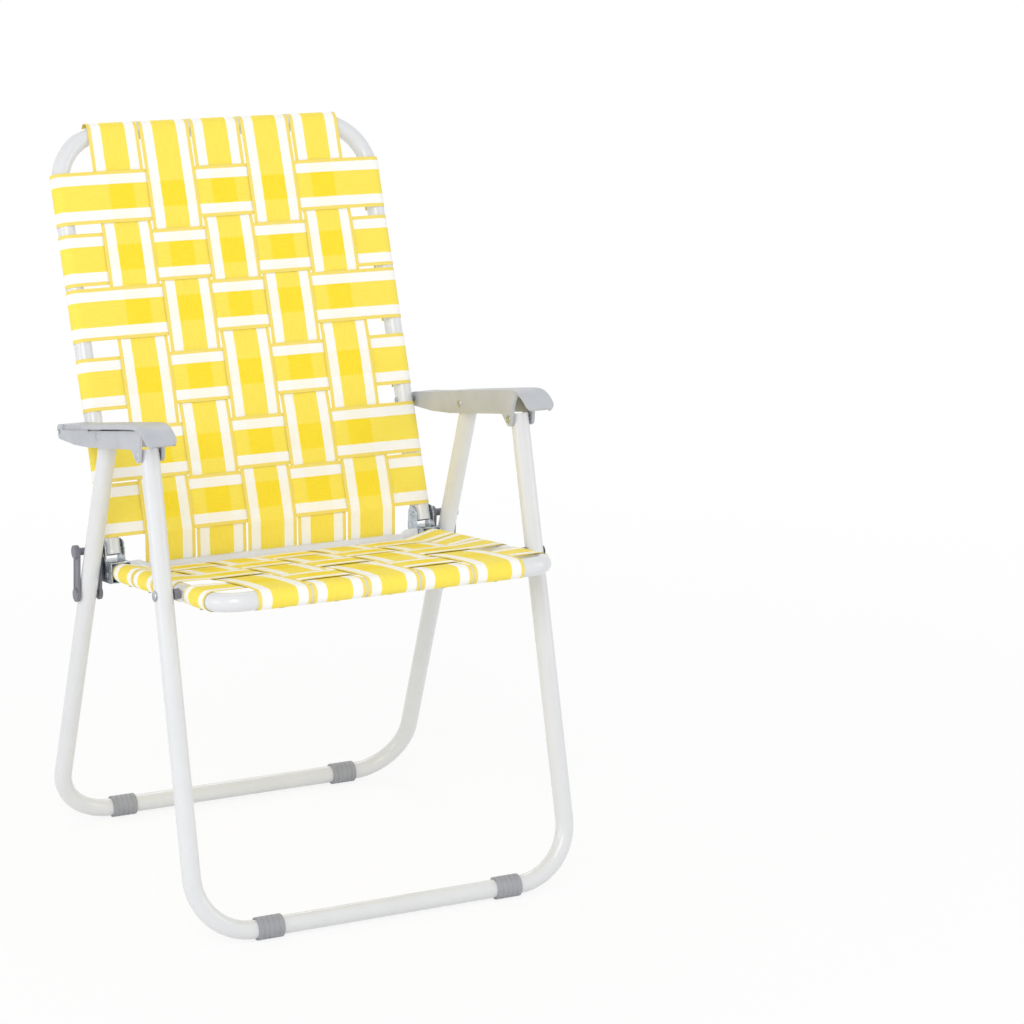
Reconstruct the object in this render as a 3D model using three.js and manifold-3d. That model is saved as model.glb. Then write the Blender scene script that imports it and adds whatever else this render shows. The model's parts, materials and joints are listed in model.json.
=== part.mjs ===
// A folding lawn chair: four bent steel tubes, plastic arms and links, and woven webbing.
// Lengths are in millimetres. x runs across the chair, y to its rear and z up. The sitter faces -y.
import * as THREE from 'three';
import { mergeVertices } from 'three/addons/utils/BufferGeometryUtils.js';
import Module from 'manifold-3d';

const wasm = await Module();
wasm.setup();

// Tube stock and general fits
const tubeRadius = 11;
const tubeWall = 1.2;
const clearance = 0.3;
const cutOverrun = 4;

// Widths: the frames' half width from the middle of the chair to the middle of the tube, and how far
// outside it the legs stand
const frameHalfWidth = 208.5;
const legTopOutset = 29;
const footOutset = 33.5;

// Side view: the floor bars and the pivots
const footHalfDepth = 241.7;
const clipWall = 1.7;
const hingeDownRearLeg = 175.753;
const hingeBehindRearLeg = 16.56;
const rearLegPivotRearward = 28.82;
const rearLegPivotHeight = 547.65;
const frontLegPivotForward = 106.55;
const frontLegPivotRise = 6.03;
const armPivotAlongBack = 148.2;
const seatPivotAlongLeg = 162.1;
const linkPivotAlongLeg = 228.2;

// Back frame
const backLean = 20.23;
const backLength = 515.3;
const backBendRadius = 68;
const backTubeTail = 8;

// Seat frame
const seatSlope = 7.04;
const seatDrop = 27.3;
const seatLength = 355.3;
const seatBendRadius = 30;
const seatTubeTail = 13;
const crossBarForward = 14.7;
const crossBarDrop = 2.4;
const crossBarRadius = 9.5;
const crossBarFlatLength = 14;
const crossBarFlareLength = 14;
const crossBarFlatHalfHeight = 14;
const crossBarFlatHalfDepth = 3.2;

// Leg frames
const legBendRadius = 70;
const legTopOverrun = 6;

// Foot clips
const clipHalfWidth = 16;
const clipInset = 88;
const clipPadRise = 0.6;
const clipRibDepth = 0.7;
const clipRibCount = 5;
const clipGrooveHalfWidth = 1;
const clipSlotHalfAngle = 30;

// Rivets and pins
const pinRadius = 3;
const pinHoleRadius = 3.5;
const rivetHeadRadius = 5;
const rivetHeadThickness = 1;
const rivetHeadEdge = 0.4;
const hingeHeadThickness = 1.3;
const smallHeadRadius = 4.2;

// Armrests
const armInnerOutset = 13.8;
const armWall = 3.4;
const armOuterWallOutset = 41.7;
const armEdgeOutset = 50.5;
const armEndRadius = 12.5;
const armCover = 3.2;
const armLipHeight = 5.6;
const armLipThickness = 3;
const armMidHeight = 21;
const armMidAlong = 105;
const armFrontHeight = 33;
const armMidDepth = 11;
const armFrontRise = 2;
const armLobeRadius = 9;
const armLobeLead = 15;
const paddleReach = 54;
const paddleLipHeight = 11;
const paddleShoulder = 30;
const paddleShoulderDrop = 2;
const archReach = 20;
const archStart = 12;
const archFootHeight = 6;
const accessHoleRadius = 5;

// Hinge brackets
const bracketSheet = 1.6;
const bracketLobeRadius = 11.5;
const bracketFrontReach = 30;
const bracketRearReach = 15;
const bracketCorner = 5;
const bracketPinDepth = 12;
const bracketPinRadius = 2.4;

// Links
const linkPlate = 3.4;
const linkInnerOutset = 14.9;
const linkOuterOutset = 42.7;
const linkHalfWidth = 8.5;
const linkBossRadius = 6.5;
const linkBossHeight = 1.3;
const linkSpacerRadius = 4.6;
const linkSpacerBore = 3.5;
const linkPinGap = 0.4;

// Seat pivot
const seatSpacerRadius = 6.5;
const seatSpacerBore = 3.4;
const seatHeadRadius = 6.5;
const seatHeadThickness = 2;

// Webbing
const strapWidth = 64;
const strapThickness = 0.8;
const longStrapGap = 2.6;
const longStrapInset = 42;
const strapTail = 9;
const backStrapStart = 12.5;
const backStrapGapShares = [0.0253, 0.2062, 0.1852, 0.0379, 0.1052];
const seatStrapStart = 33;
const seatStrapGap = 2.6;
const seatStrapPivotGap = 12.3;
const seatStrapFrontGap = 11;
const longStrapTailTurn = 8;
const hingeSplitRadius = 13.6;
const hingeSplitGap = 0.5;
const seatRearHeight = 1;
const matCurve = 1.6;

// Counts
const tubeSegments = 8;
const bendSteps = 5;
const roundSteps = 8;
const shapeSegments = 4;
const collarSteps = 5;
const boreSteps = 14;
const strapArcSteps = 6;
const pinSegments = 12;

// Materials
const whiteSteel = new THREE.MeshStandardMaterial({ color: 0xf1f1f4, roughness: 0.28, metalness: 0.1 });
const yellowWebbing = new THREE.MeshStandardMaterial({ color: 0xf2c41c, roughness: 0.75, metalness: 0 });
const greyPlastic = new THREE.MeshStandardMaterial({ color: 0xa9acb2, roughness: 0.5, metalness: 0 });
const darkPlastic = new THREE.MeshStandardMaterial({ color: 0x55565c, roughness: 0.5, metalness: 0 });
const zinc = new THREE.MeshStandardMaterial({ color: 0xa8b2b6, roughness: 0.4, metalness: 0.9 });

// Derived widths
const legTopHalfWidth = frameHalfWidth + legTopOutset;
const footHalfWidth = frameHalfWidth + footOutset;
const clipCentreOffset = footHalfWidth - clipInset;
const armInnerFace = frameHalfWidth + armInnerOutset;
const armOuterWallFace = frameHalfWidth + armOuterWallOutset;
const armOuterEdge = frameHalfWidth + armEdgeOutset;
const linkInnerFace = frameHalfWidth + linkInnerOutset;
const linkOuterFace = frameHalfWidth + linkOuterOutset;

// Derived side view. A point of the side view is a Vector2 of y and z.
const radians = THREE.MathUtils.degToRad;
const floorBarHeight = tubeRadius + clearance + clipWall;
const frontFoot = new THREE.Vector2(-footHalfDepth, floorBarHeight);
const rearFoot = new THREE.Vector2(footHalfDepth, floorBarHeight);
const rearLegPivot = new THREE.Vector2(rearLegPivotRearward, rearLegPivotHeight);
const rearLegDirection = rearLegPivot.clone().sub(rearFoot).normalize();
const rearLegNormal = new THREE.Vector2(rearLegDirection.y, -rearLegDirection.x);
const hingePoint = rearLegPivot.clone()
  .addScaledVector(rearLegDirection, -hingeDownRearLeg).addScaledVector(rearLegNormal, hingeBehindRearLeg);
const frontLegPivot = new THREE.Vector2(-frontLegPivotForward, rearLegPivotHeight + frontLegPivotRise);
const backDirection = new THREE.Vector2(Math.sin(radians(backLean)), Math.cos(radians(backLean)));
const armPivot = hingePoint.clone().addScaledVector(backDirection, armPivotAlongBack);
const seatForward = new THREE.Vector2(-Math.cos(radians(seatSlope)), Math.sin(radians(seatSlope)));
const seatUp = new THREE.Vector2(Math.sin(radians(seatSlope)), Math.cos(radians(seatSlope)));
const seatOrigin = hingePoint.clone().addScaledVector(seatUp, -seatDrop);
const frontLegDirection = frontLegPivot.clone().sub(frontFoot).normalize();
const seatPivot = frontLegPivot.clone().addScaledVector(frontLegDirection, -seatPivotAlongLeg);
const seatPivotForward = seatPivot.clone().sub(seatOrigin).dot(seatForward);
const linkPivot = rearLegPivot.clone().addScaledVector(rearLegDirection, -linkPivotAlongLeg);
const frontLegLength = frontLegPivot.distanceTo(frontFoot);
const rearLegLength = rearLegPivot.distanceTo(rearFoot);
const armSpan = armPivot.distanceTo(frontLegPivot);

// A group that stands at a point of the side view, its z axis along a direction in the y and z plane
function tiltedGroup(point, upDirection) {
  const group = new THREE.Group();
  group.position.set(0, point.x, point.y);
  group.rotation.x = -Math.atan2(upDirection.x, upDirection.y);
  return group;
}

// The place, in a tilted group's own y and z, of a point of the side view
function inGroup(group, point) {
  const spot = new THREE.Vector3(0, point.x, point.y);
  group.updateMatrixWorld(true);
  group.worldToLocal(spot);
  return new THREE.Vector2(spot.y, spot.z);
}

// The half width of a leg frame at a distance up from its floor bar
function legHalfWidth(legLength, along) {
  return footHalfWidth + (legTopHalfWidth - footHalfWidth) * (along / legLength);
}

// A centre line of straight runs joined by arcs. Its parameter counts the stations, so that a straight
// run takes one step and each bend takes bendSteps.
class BentLine extends THREE.Curve {
  constructor(corners, bendRadius) {
    super();
    this.places = [];
    this.directions = [];
    const last = corners.length - 1;
    const addStation = (place, direction) => {
      this.places.push(place);
      this.directions.push(direction);
    };
    addStation(corners[0], corners[1].clone().sub(corners[0]).normalize());
    for (let index = 1; index < last; index += 1) {
      const into = corners[index].clone().sub(corners[index - 1]).normalize();
      const out = corners[index + 1].clone().sub(corners[index]).normalize();
      const turn = into.angleTo(out);
      const side = out.clone().addScaledVector(into, -into.dot(out)).normalize();
      const start = corners[index].clone().addScaledVector(into, -bendRadius * Math.tan(turn / 2));
      const centre = start.clone().addScaledVector(side, bendRadius);
      for (let step = 0; step <= bendSteps; step += 1) {
        const angle = (turn * step) / bendSteps;
        const place = centre.clone().addScaledVector(side, -bendRadius * Math.cos(angle));
        place.addScaledVector(into, bendRadius * Math.sin(angle));
        const direction = into.clone().multiplyScalar(Math.cos(angle)).addScaledVector(side, Math.sin(angle));
        addStation(place, direction);
      }
    }
    addStation(corners[last], corners[last].clone().sub(corners[last - 1]).normalize());
  }

  get steps() {
    return this.places.length - 1;
  }

  getPointAt(share, target = new THREE.Vector3()) {
    return target.copy(this.places[Math.round(share * this.steps)]);
  }

  getTangentAt(share, target = new THREE.Vector3()) {
    return target.copy(this.directions[Math.round(share * this.steps)]);
  }
}

// A closed body's vertices are merged, its empty triangles dropped and its faces turned outwards
function welded(geometry) {
  const bare = geometry.clone();
  bare.deleteAttribute('normal');
  bare.deleteAttribute('uv');
  const merged = mergeVertices(bare);
  const places = merged.attributes.position.array;
  const corners = [];
  let volume = 0;
  for (let first = 0; first < merged.index.count; first += 3) {
    const [a, b, c] = [0, 1, 2].map((offset) => merged.index.array[first + offset]);
    if (a === b || b === c || a === c) continue;
    corners.push(a, b, c);
    const [pa, pb, pc] = [a, b, c].map((index) => new THREE.Vector3().fromArray(places, index * 3));
    volume += pa.dot(pb.cross(pc));
  }
  if (volume < 0) corners.reverse();
  merged.setIndex(corners);
  return merged;
}

function toSolid(geometry) {
  const merged = welded(geometry);
  const vertProperties = Float32Array.from(merged.attributes.position.array);
  const triVerts = Uint32Array.from(merged.index.array);
  return new wasm.Manifold(new wasm.Mesh({ numProp: 3, vertProperties, triVerts }));
}

function toGeometry(solid) {
  const mesh = solid.getMesh();
  const geometry = new THREE.BufferGeometry();
  const places = new Float32Array(mesh.numVert * 3);
  for (let index = 0; index < mesh.numVert; index += 1) {
    for (let axis = 0; axis < 3; axis += 1) {
      places[index * 3 + axis] = mesh.vertProperties[index * mesh.numProp + axis];
    }
  }
  geometry.setAttribute('position', new THREE.BufferAttribute(places, 3));
  geometry.setIndex(Array.from(mesh.triVerts));
  return geometry;
}

function cut(geometry, tools) {
  const start = toSolid(geometry);
  return toGeometry(tools.reduce((solid, tool) => solid.subtract(toSolid(tool)), start));
}

function join(pieces) {
  const [first, ...others] = pieces.map(toSolid);
  return toGeometry(others.reduce((solid, other) => solid.add(other), first));
}

function addMesh(group, name, geometry, material) {
  const mesh = new THREE.Mesh(welded(geometry), material);
  mesh.geometry.computeVertexNormals();
  mesh.name = name;
  group.add(mesh);
  return mesh;
}

// A hollow round tube along a centre line
function bentTube(line) {
  const section = new THREE.Shape().absarc(0, 0, tubeRadius, 0, 2 * Math.PI);
  section.holes.push(new THREE.Path().absarc(0, 0, tubeRadius - tubeWall, 0, 2 * Math.PI));
  const options = { steps: line.steps, extrudePath: line, curveSegments: tubeSegments, bevelEnabled: false };
  return new THREE.ExtrudeGeometry(section, options);
}

// A plate whose outline is drawn in y and z and which fills the space between two values of x
function plateAcross(outline, fromX, toX) {
  const low = Math.min(fromX, toX);
  const options = { depth: Math.abs(toX - fromX), curveSegments: shapeSegments, bevelEnabled: false };
  const geometry = new THREE.ExtrudeGeometry(outline, options);
  const turn = new THREE.Matrix4().makeBasis(
    new THREE.Vector3(0, 1, 0),
    new THREE.Vector3(0, 0, 1),
    new THREE.Vector3(1, 0, 0),
  );
  return geometry.applyMatrix4(turn).translate(low, 0, 0);
}

// A round bar along x, at a place in y and z
function barAcross(radius, fromX, toX, place, segments = pinSegments) {
  const geometry = new THREE.CylinderGeometry(radius, radius, Math.abs(toX - fromX), segments);
  return geometry.rotateZ(Math.PI / 2).translate((fromX + toX) / 2, place.x, place.y);
}

// A turned piece along x, from pairs of x and radius that start and end on the axis
function turnedAcross(profile, place, segments = pinSegments) {
  const points = profile.map(([x, radius]) => new THREE.Vector2(radius, x));
  const geometry = new THREE.LatheGeometry(points, segments);
  return geometry.rotateZ(-Math.PI / 2).translate(0, place.x, place.y);
}

// A rivet along x: a shank between two faces, and a head with a soft edge outside each
function rivetAcross(side, innerFace, outerFace, place, headRadius, innerHead, outerHead) {
  const inner = innerFace - clearance;
  const outer = outerFace + clearance;
  const profile = [
    [inner - innerHead, 0],
    [inner - innerHead, headRadius - rivetHeadEdge],
    [inner - innerHead + rivetHeadEdge, headRadius],
    [inner, headRadius],
    [inner, pinRadius],
    [outer, pinRadius],
    [outer, headRadius],
    [outer + outerHead - rivetHeadEdge, headRadius],
    [outer + outerHead, headRadius - rivetHeadEdge],
    [outer + outerHead, 0],
  ];
  return turnedAcross(profile.map(([x, radius]) => [side * x, radius]), place);
}

function arcPoint(centreX, centreY, radius, angle) {
  const turn = radians(angle);
  return new THREE.Vector2(centreX + radius * Math.cos(turn), centreY + radius * Math.sin(turn));
}

function arcPoints(centreX, centreY, radius, fromAngle, toAngle, steps = roundSteps) {
  return Array.from({ length: steps + 1 }, (unused, step) => (
    arcPoint(centreX, centreY, radius, fromAngle + ((toAngle - fromAngle) * step) / steps)
  ));
}

// An arc of a strap's path, made of chords that touch the circle and never cut into it
function wrapPoints(centreX, centreY, radius, fromAngle, toAngle) {
  const halfStep = (toAngle - fromAngle) / (2 * strapArcSteps);
  const reach = radius / Math.cos(radians(halfStep));
  return [
    arcPoint(centreX, centreY, radius, fromAngle),
    ...arcPoints(centreX, centreY, reach, fromAngle + halfStep, toAngle - halfStep, strapArcSteps - 1),
    arcPoint(centreX, centreY, radius, toAngle),
  ];
}

// The outline of a strap of even thickness along a path, as a closed ring of points
function ribbonOutline(path) {
  const half = strapThickness / 2;
  const sides = path.map((point, index) => {
    const before = path[Math.max(index - 1, 0)];
    const after = path[Math.min(index + 1, path.length - 1)];
    const into = point.clone().sub(before);
    const out = after.clone().sub(point);
    if (index === 0) into.copy(out);
    if (index === path.length - 1) out.copy(into);
    into.normalize();
    out.normalize();
    const normal = new THREE.Vector2(-into.y - out.y, into.x + out.x).normalize();
    const reach = half / (normal.x * -into.y + normal.y * into.x);
    return [point.clone().addScaledVector(normal, reach), point.clone().addScaledVector(normal, -reach)];
  });
  return [...sides.map((pair) => pair[0]), ...sides.map((pair) => pair[1]).reverse()];
}

// A body between two rings of equally many points, each ring closed by a flat face
function loft(rings, flatRing) {
  const count = flatRing.length;
  const places = rings.flat().flatMap((point) => point.toArray());
  const corners = [];
  for (let ring = 0; ring < rings.length - 1; ring += 1) {
    for (let index = 0; index < count; index += 1) {
      const a = ring * count + index;
      const b = ring * count + ((index + 1) % count);
      corners.push(a, b, b + count, a, b + count, a + count);
    }
  }
  const far = (rings.length - 1) * count;
  const caps = THREE.ShapeUtils.triangulateShape(flatRing, []);
  const turns = THREE.ShapeUtils.isClockWise(flatRing);
  caps.forEach(([a, b, c]) => corners.push(...(turns ? [a, b, c] : [c, b, a])));
  caps.forEach(([a, b, c]) => corners.push(...(turns ? [far + c, far + b, far + a] : [far + a, far + b, far + c])));
  const geometry = new THREE.BufferGeometry();
  geometry.setAttribute('position', new THREE.Float32BufferAttribute(places, 3));
  geometry.setIndex(corners);
  return geometry;
}

// How many straps lie side by side in a given length
function strapsThatFit(length, gap) {
  return Math.floor((length + gap) / (strapWidth + gap));
}

// Webbing layout. Long straps are numbered from -x, back cross straps from the hinge up.
const strapInnerFace = tubeRadius + clearance;
const strapRadius = strapInnerFace + strapThickness / 2;
const strapLift = (strapThickness + clearance) / 2;
const matHeight = strapRadius + strapLift;
const longStrapPitch = strapWidth + longStrapGap;
const longStrapCount = strapsThatFit(2 * (frameHalfWidth - longStrapInset), longStrapGap);
const longStrapCentres = Array.from({ length: longStrapCount }, (unused, index) => (
  (index - (longStrapCount - 1) / 2) * longStrapPitch
));

// The back's cross straps leave gaps that are shares of the length that the straps don't take
function backSpans() {
  const spans = [[backStrapStart, backStrapStart + strapWidth]];
  const spare = backLength - backStrapStart - (backStrapGapShares.length + 1) * strapWidth;
  backStrapGapShares.forEach((share) => {
    const from = spans[spans.length - 1][1] + share * spare;
    spans.push([from, from + strapWidth]);
  });
  return spans;
}

// The seat's cross straps lie side by side behind and before the place where the front legs hold the frame
function seatSpans() {
  const runs = [
    [seatStrapStart, seatPivotForward - seatStrapPivotGap],
    [seatPivotForward + seatStrapPivotGap, seatLength - seatStrapFrontGap],
  ];
  return runs.flatMap(([from, to]) => (
    Array.from({ length: strapsThatFit(to - from, seatStrapGap) }, (unused, index) => {
      const edge = from + index * (strapWidth + seatStrapGap);
      return [edge, edge + strapWidth];
    })
  ));
}

const backStrapSpans = backSpans();
const seatStrapSpans = seatSpans();

// True where the cross strap lies over the long strap. The back's top cross strap lies over the outer
// long straps, and the pattern alternates from there.
const crossOverInBack = (cross, long) => (backStrapSpans.length - 1 - cross + long) % 2 === 0;
const crossOverInSeat = (cross, long) => (cross + long) % 2 === 0;

// The seat's webbing rises from its first cross strap up to the top of the front bar
function seatMatHeight(forward) {
  const share = 1 - (forward - seatStrapStart) / (seatLength - seatStrapStart);
  return matHeight - (matHeight - seatRearHeight) * Math.max(share, 0) ** matCurve;
}

// Where a line from a point touches a circle, on the side given by turn
function touchPoint(centre, radius, from, turn) {
  const away = from.clone().sub(centre);
  const angle = away.angle() + turn * Math.acos(radius / away.length());
  return new THREE.Vector2(Math.cos(angle), Math.sin(angle)).multiplyScalar(radius).add(centre);
}

// The path of a cross strap in x and height: round both side tubes and over or under the long straps
function crossStrapPath(height, isOver) {
  const middle = longStrapCentres.flatMap((centre, index) => {
    const lift = isOver(index) ? strapLift : -strapLift;
    return [-strapWidth / 2, strapWidth / 2].map((edge) => new THREE.Vector2(centre + edge, height + lift));
  });
  const tube = new THREE.Vector2(frameHalfWidth, 0);
  const touch = touchPoint(tube, strapRadius, middle[middle.length - 1], -1);
  const topAngle = THREE.MathUtils.radToDeg(touch.clone().sub(tube).angle());
  return [
    new THREE.Vector2(-frameHalfWidth + strapTail, -strapRadius),
    ...wrapPoints(-frameHalfWidth, 0, strapRadius, 270, 180 - topAngle),
    ...middle,
    ...wrapPoints(frameHalfWidth, 0, strapRadius, topAngle, -90),
    new THREE.Vector2(frameHalfWidth - strapTail, -strapRadius),
  ];
}

// One ring of a foot clip, in y and z: a collar of a given outer radius, flat below at the floor and
// open at the rear, then its bore
function clipRing(radius) {
  const floorAngle = THREE.MathUtils.radToDeg(Math.acos(Math.min(floorBarHeight / radius, 1)));
  return [
    ...arcPoints(0, 0, radius, clipSlotHalfAngle, 270 - floorAngle, collarSteps),
    ...arcPoints(0, 0, radius, 270 + floorAngle, 360 - clipSlotHalfAngle, collarSteps),
    ...arcPoints(0, 0, tubeRadius + clearance, 360 - clipSlotHalfAngle, clipSlotHalfAngle, boreSteps),
  ];
}

// Foot clip: flat-topped ribs with a groove between each two
function footClip(centreX) {
  const ribPitch = (2 * clipHalfWidth) / clipRibCount;
  const rib = clipRing(floorBarHeight + clipPadRise);
  const groove = clipRing(floorBarHeight + clipPadRise - clipRibDepth);
  const rings = [];
  for (let index = 0; index < clipRibCount; index += 1) {
    const from = centreX - clipHalfWidth + index * ribPitch;
    const start = index === 0 ? from : from + clipGrooveHalfWidth;
    const end = index === clipRibCount - 1 ? from + ribPitch : from + ribPitch - clipGrooveHalfWidth;
    if (index > 0) rings.push([from, groove]);
    rings.push([start, rib], [end, rib]);
  }
  return loft(rings.map(([x, ring]) => ring.map((point) => new THREE.Vector3(x, point.x, point.y))), rib);
}

// Leg frame: two legs and a floor bar in one tube, in a group that stands at the floor bar
function legTube(legLength, holes) {
  const top = legLength + legTopOverrun;
  const topHalf = legHalfWidth(legLength, top);
  const line = new BentLine([
    new THREE.Vector3(-topHalf, 0, top),
    new THREE.Vector3(-footHalfWidth, 0, 0),
    new THREE.Vector3(footHalfWidth, 0, 0),
    new THREE.Vector3(topHalf, 0, top),
  ], legBendRadius);
  const reach = footHalfWidth + tubeRadius + cutOverrun;
  const tools = holes.map((along) => barAcross(pinHoleRadius, -reach, reach, new THREE.Vector2(0, along)));
  return cut(bentTube(line), tools);
}

function addFootClips(chair, foot, name) {
  const group = tiltedGroup(foot, new THREE.Vector2(0, 1));
  addMesh(group, `${name}_foot_clip_left`, footClip(clipCentreOffset), greyPlastic);
  addMesh(group, `${name}_foot_clip_right`, footClip(-clipCentreOffset), greyPlastic);
  chair.add(group);
}

function addRearLegs(chair) {
  const group = tiltedGroup(rearFoot, rearLegDirection);
  const linkAlong = rearLegLength - linkPivotAlongLeg;
  addMesh(group, 'rear_leg_tube', legTube(rearLegLength, [rearLegLength, linkAlong]), whiteSteel);
  const from = linkInnerFace + linkPlate + linkPinGap;
  const to = linkOuterFace - linkPinGap;
  const place = new THREE.Vector2(0, linkAlong);
  addMesh(group, 'link_pin_left', barAcross(pinRadius, from, to, place), zinc);
  addMesh(group, 'link_pin_right', barAcross(pinRadius, -to, -from, place), zinc);
  chair.add(group);
  addFootClips(chair, rearFoot, 'rear');
}

// The seat's pivot on the front leg: a rivet through the leg and a spacer towards the seat tube
function seatRivet(side, place, halfWidth) {
  const outer = halfWidth + tubeRadius + clearance;
  const inner = frameHalfWidth + tubeRadius + clearance;
  const profile = [
    [inner, 0],
    [inner, pinRadius],
    [outer, pinRadius],
    [outer, seatHeadRadius],
    [outer + seatHeadThickness / 2, seatHeadRadius],
    [outer + seatHeadThickness, seatHeadRadius / 2],
    [outer + seatHeadThickness, 0],
  ];
  return turnedAcross(profile.map(([x, radius]) => [side * x, radius]), place);
}

function seatSpacer(side, place, halfWidth) {
  const inner = frameHalfWidth + tubeRadius + clearance;
  const outer = halfWidth - tubeRadius - clearance;
  const body = barAcross(seatSpacerRadius, side * inner, side * outer, place);
  const bore = barAcross(seatSpacerBore, side * (inner - cutOverrun), side * (outer + cutOverrun), place);
  return cut(body, [bore]);
}

function addFrontLegs(chair) {
  const group = tiltedGroup(frontFoot, frontLegDirection);
  const seatAlong = frontLegLength - seatPivotAlongLeg;
  addMesh(group, 'front_leg_tube', legTube(frontLegLength, [frontLegLength, seatAlong]), whiteSteel);
  const place = new THREE.Vector2(0, seatAlong);
  const halfWidth = legHalfWidth(frontLegLength, seatAlong);
  [['left', 1], ['right', -1]].forEach(([name, side]) => {
    addMesh(group, `seat_rivet_${name}`, seatRivet(side, place, halfWidth), zinc);
    addMesh(group, `seat_spacer_${name}`, seatSpacer(side, place, halfWidth), darkPlastic);
  });
  chair.add(group);
  addFootClips(chair, frontFoot, 'front');
}

// Armrest outlines, with the distance forward of the back pivot and the height as their two numbers
const armFrontTop = new THREE.Vector2(armSpan, armFrontHeight);
const armShoulder = new THREE.Vector2(armSpan + paddleShoulder, armFrontHeight - paddleShoulderDrop);
const armLip = new THREE.Vector2(armSpan + paddleReach, paddleLipHeight);

// The arm's own y runs to the rear, so a distance forward becomes a negative y
function armPoint(forward, height) {
  return [-forward, height];
}

function armTopShape(depth, rearHeight) {
  const shape = new THREE.Shape();
  shape.moveTo(...armPoint(-armEndRadius, rearHeight));
  const rear = arcPoints(0, 0, armEndRadius, 0, 90).slice(1);
  rear.forEach((point) => shape.lineTo(point.x, point.y));
  shape.lineTo(...armPoint(armMidAlong, armMidHeight));
  shape.lineTo(...armPoint(armFrontTop.x, armFrontTop.y));
  shape.quadraticCurveTo(
    ...armPoint(armShoulder.x, armShoulder.y + paddleShoulderDrop),
    ...armPoint((armShoulder.x + armLip.x) / 2, (armShoulder.y + armLip.y) / 2 + paddleShoulderDrop),
  );
  shape.lineTo(...armPoint(armLip.x, armLip.y));
  shape.lineTo(...armPoint(armLip.x - depth, armLip.y));
  shape.quadraticCurveTo(
    ...armPoint(armShoulder.x - depth, armShoulder.y - depth),
    ...armPoint(armFrontTop.x, armFrontTop.y - depth),
  );
  shape.lineTo(...armPoint(armMidAlong, armMidHeight - depth));
  shape.lineTo(...armPoint(0, armEndRadius - depth));
  shape.lineTo(...armPoint(depth - armEndRadius, rearHeight));
  shape.closePath();
  return shape;
}

function armWallShape() {
  const shape = new THREE.Shape();
  const rear = arcPoints(0, 0, armEndRadius, -90, 90);
  const top = armCover / 2;
  shape.moveTo(rear[0].x, rear[0].y);
  rear.slice(1).forEach((point) => shape.lineTo(point.x, point.y));
  shape.lineTo(...armPoint(armMidAlong, armMidHeight - top));
  shape.lineTo(...armPoint(armSpan, armFrontHeight - top));
  shape.lineTo(...armPoint(armSpan + archReach, armFrontHeight - top - armCover));
  shape.lineTo(...armPoint(armSpan + archStart, armFrontHeight / 2));
  shape.lineTo(...armPoint(armSpan + armLobeRadius, archFootHeight));
  const lobe = arcPoints(-armSpan, 0, armLobeRadius, 180, 320);
  lobe.forEach((point) => shape.lineTo(point.x, point.y));
  shape.lineTo(...armPoint(armSpan - armLobeLead, armFrontRise));
  shape.lineTo(...armPoint(armMidAlong, -armMidDepth));
  shape.closePath();
  return shape;
}

function armrest(side, group) {
  const cover = plateAcross(armTopShape(armCover, clearance), side * armInnerFace, side * armOuterEdge);
  const lip = plateAcross(
    armTopShape(armLipHeight, clearance), side * (armOuterEdge - armLipThickness), side * armOuterEdge,
  );
  const innerWall = plateAcross(armWallShape(), side * armInnerFace, side * (armInnerFace + armWall));
  const outerWall = plateAcross(armWallShape(), side * armOuterWallFace, side * (armOuterWallFace + armWall));
  const innerFrom = side * (armInnerFace - cutOverrun);
  const innerTo = side * (armInnerFace + armWall + cutOverrun);
  const outerTo = side * (armOuterWallFace + armWall + cutOverrun);
  const outerFrom = side * (armOuterWallFace - cutOverrun);
  const back = inGroup(group, armPivot);
  const tools = [
    barAcross(pinHoleRadius, innerFrom, innerTo, back),
    barAcross(accessHoleRadius, outerFrom, outerTo, back),
    barAcross(pinHoleRadius, innerFrom, outerTo, inGroup(group, rearLegPivot)),
    barAcross(pinHoleRadius, innerFrom, outerTo, inGroup(group, frontLegPivot)),
  ];
  return cut(join([cover, lip, innerWall, outerWall]), tools);
}

function addArmrests(chair) {
  const along = frontLegPivot.clone().sub(armPivot).normalize();
  const group = tiltedGroup(armPivot, new THREE.Vector2(along.y, -along.x));
  const wallOuter = armOuterWallFace + armWall;
  [['left', 1], ['right', -1]].forEach(([name, side]) => {
    addMesh(group, `armrest_${name}`, armrest(side, group), greyPlastic);
    const backRivet = rivetAcross(
      side, frameHalfWidth - tubeRadius, armInnerFace + armWall, inGroup(group, armPivot),
      smallHeadRadius, rivetHeadThickness, rivetHeadThickness,
    );
    addMesh(group, `arm_back_rivet_${name}`, backRivet, zinc);
    [['rear_leg', rearLegPivot], ['front_leg', frontLegPivot]].forEach(([leg, pivot]) => {
      const rivet = rivetAcross(
        side, armInnerFace, wallOuter, inGroup(group, pivot),
        rivetHeadRadius, rivetHeadThickness, rivetHeadThickness,
      );
      addMesh(group, `arm_${leg}_rivet_${name}`, rivet, zinc);
    });
  });
  chair.add(group);
}

// Back frame: its group stands at the hinge, z up the back and -y to the sitter
function backTube() {
  const line = new BentLine([
    new THREE.Vector3(-frameHalfWidth, 0, -backTubeTail),
    new THREE.Vector3(-frameHalfWidth, 0, backLength),
    new THREE.Vector3(frameHalfWidth, 0, backLength),
    new THREE.Vector3(frameHalfWidth, 0, -backTubeTail),
  ], backBendRadius);
  const reach = frameHalfWidth + tubeRadius + cutOverrun;
  const tools = [0, armPivotAlongBack].map((along) => (
    barAcross(pinHoleRadius, -reach, reach, new THREE.Vector2(0, along))
  ));
  return cut(bentTube(line), tools);
}

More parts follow.
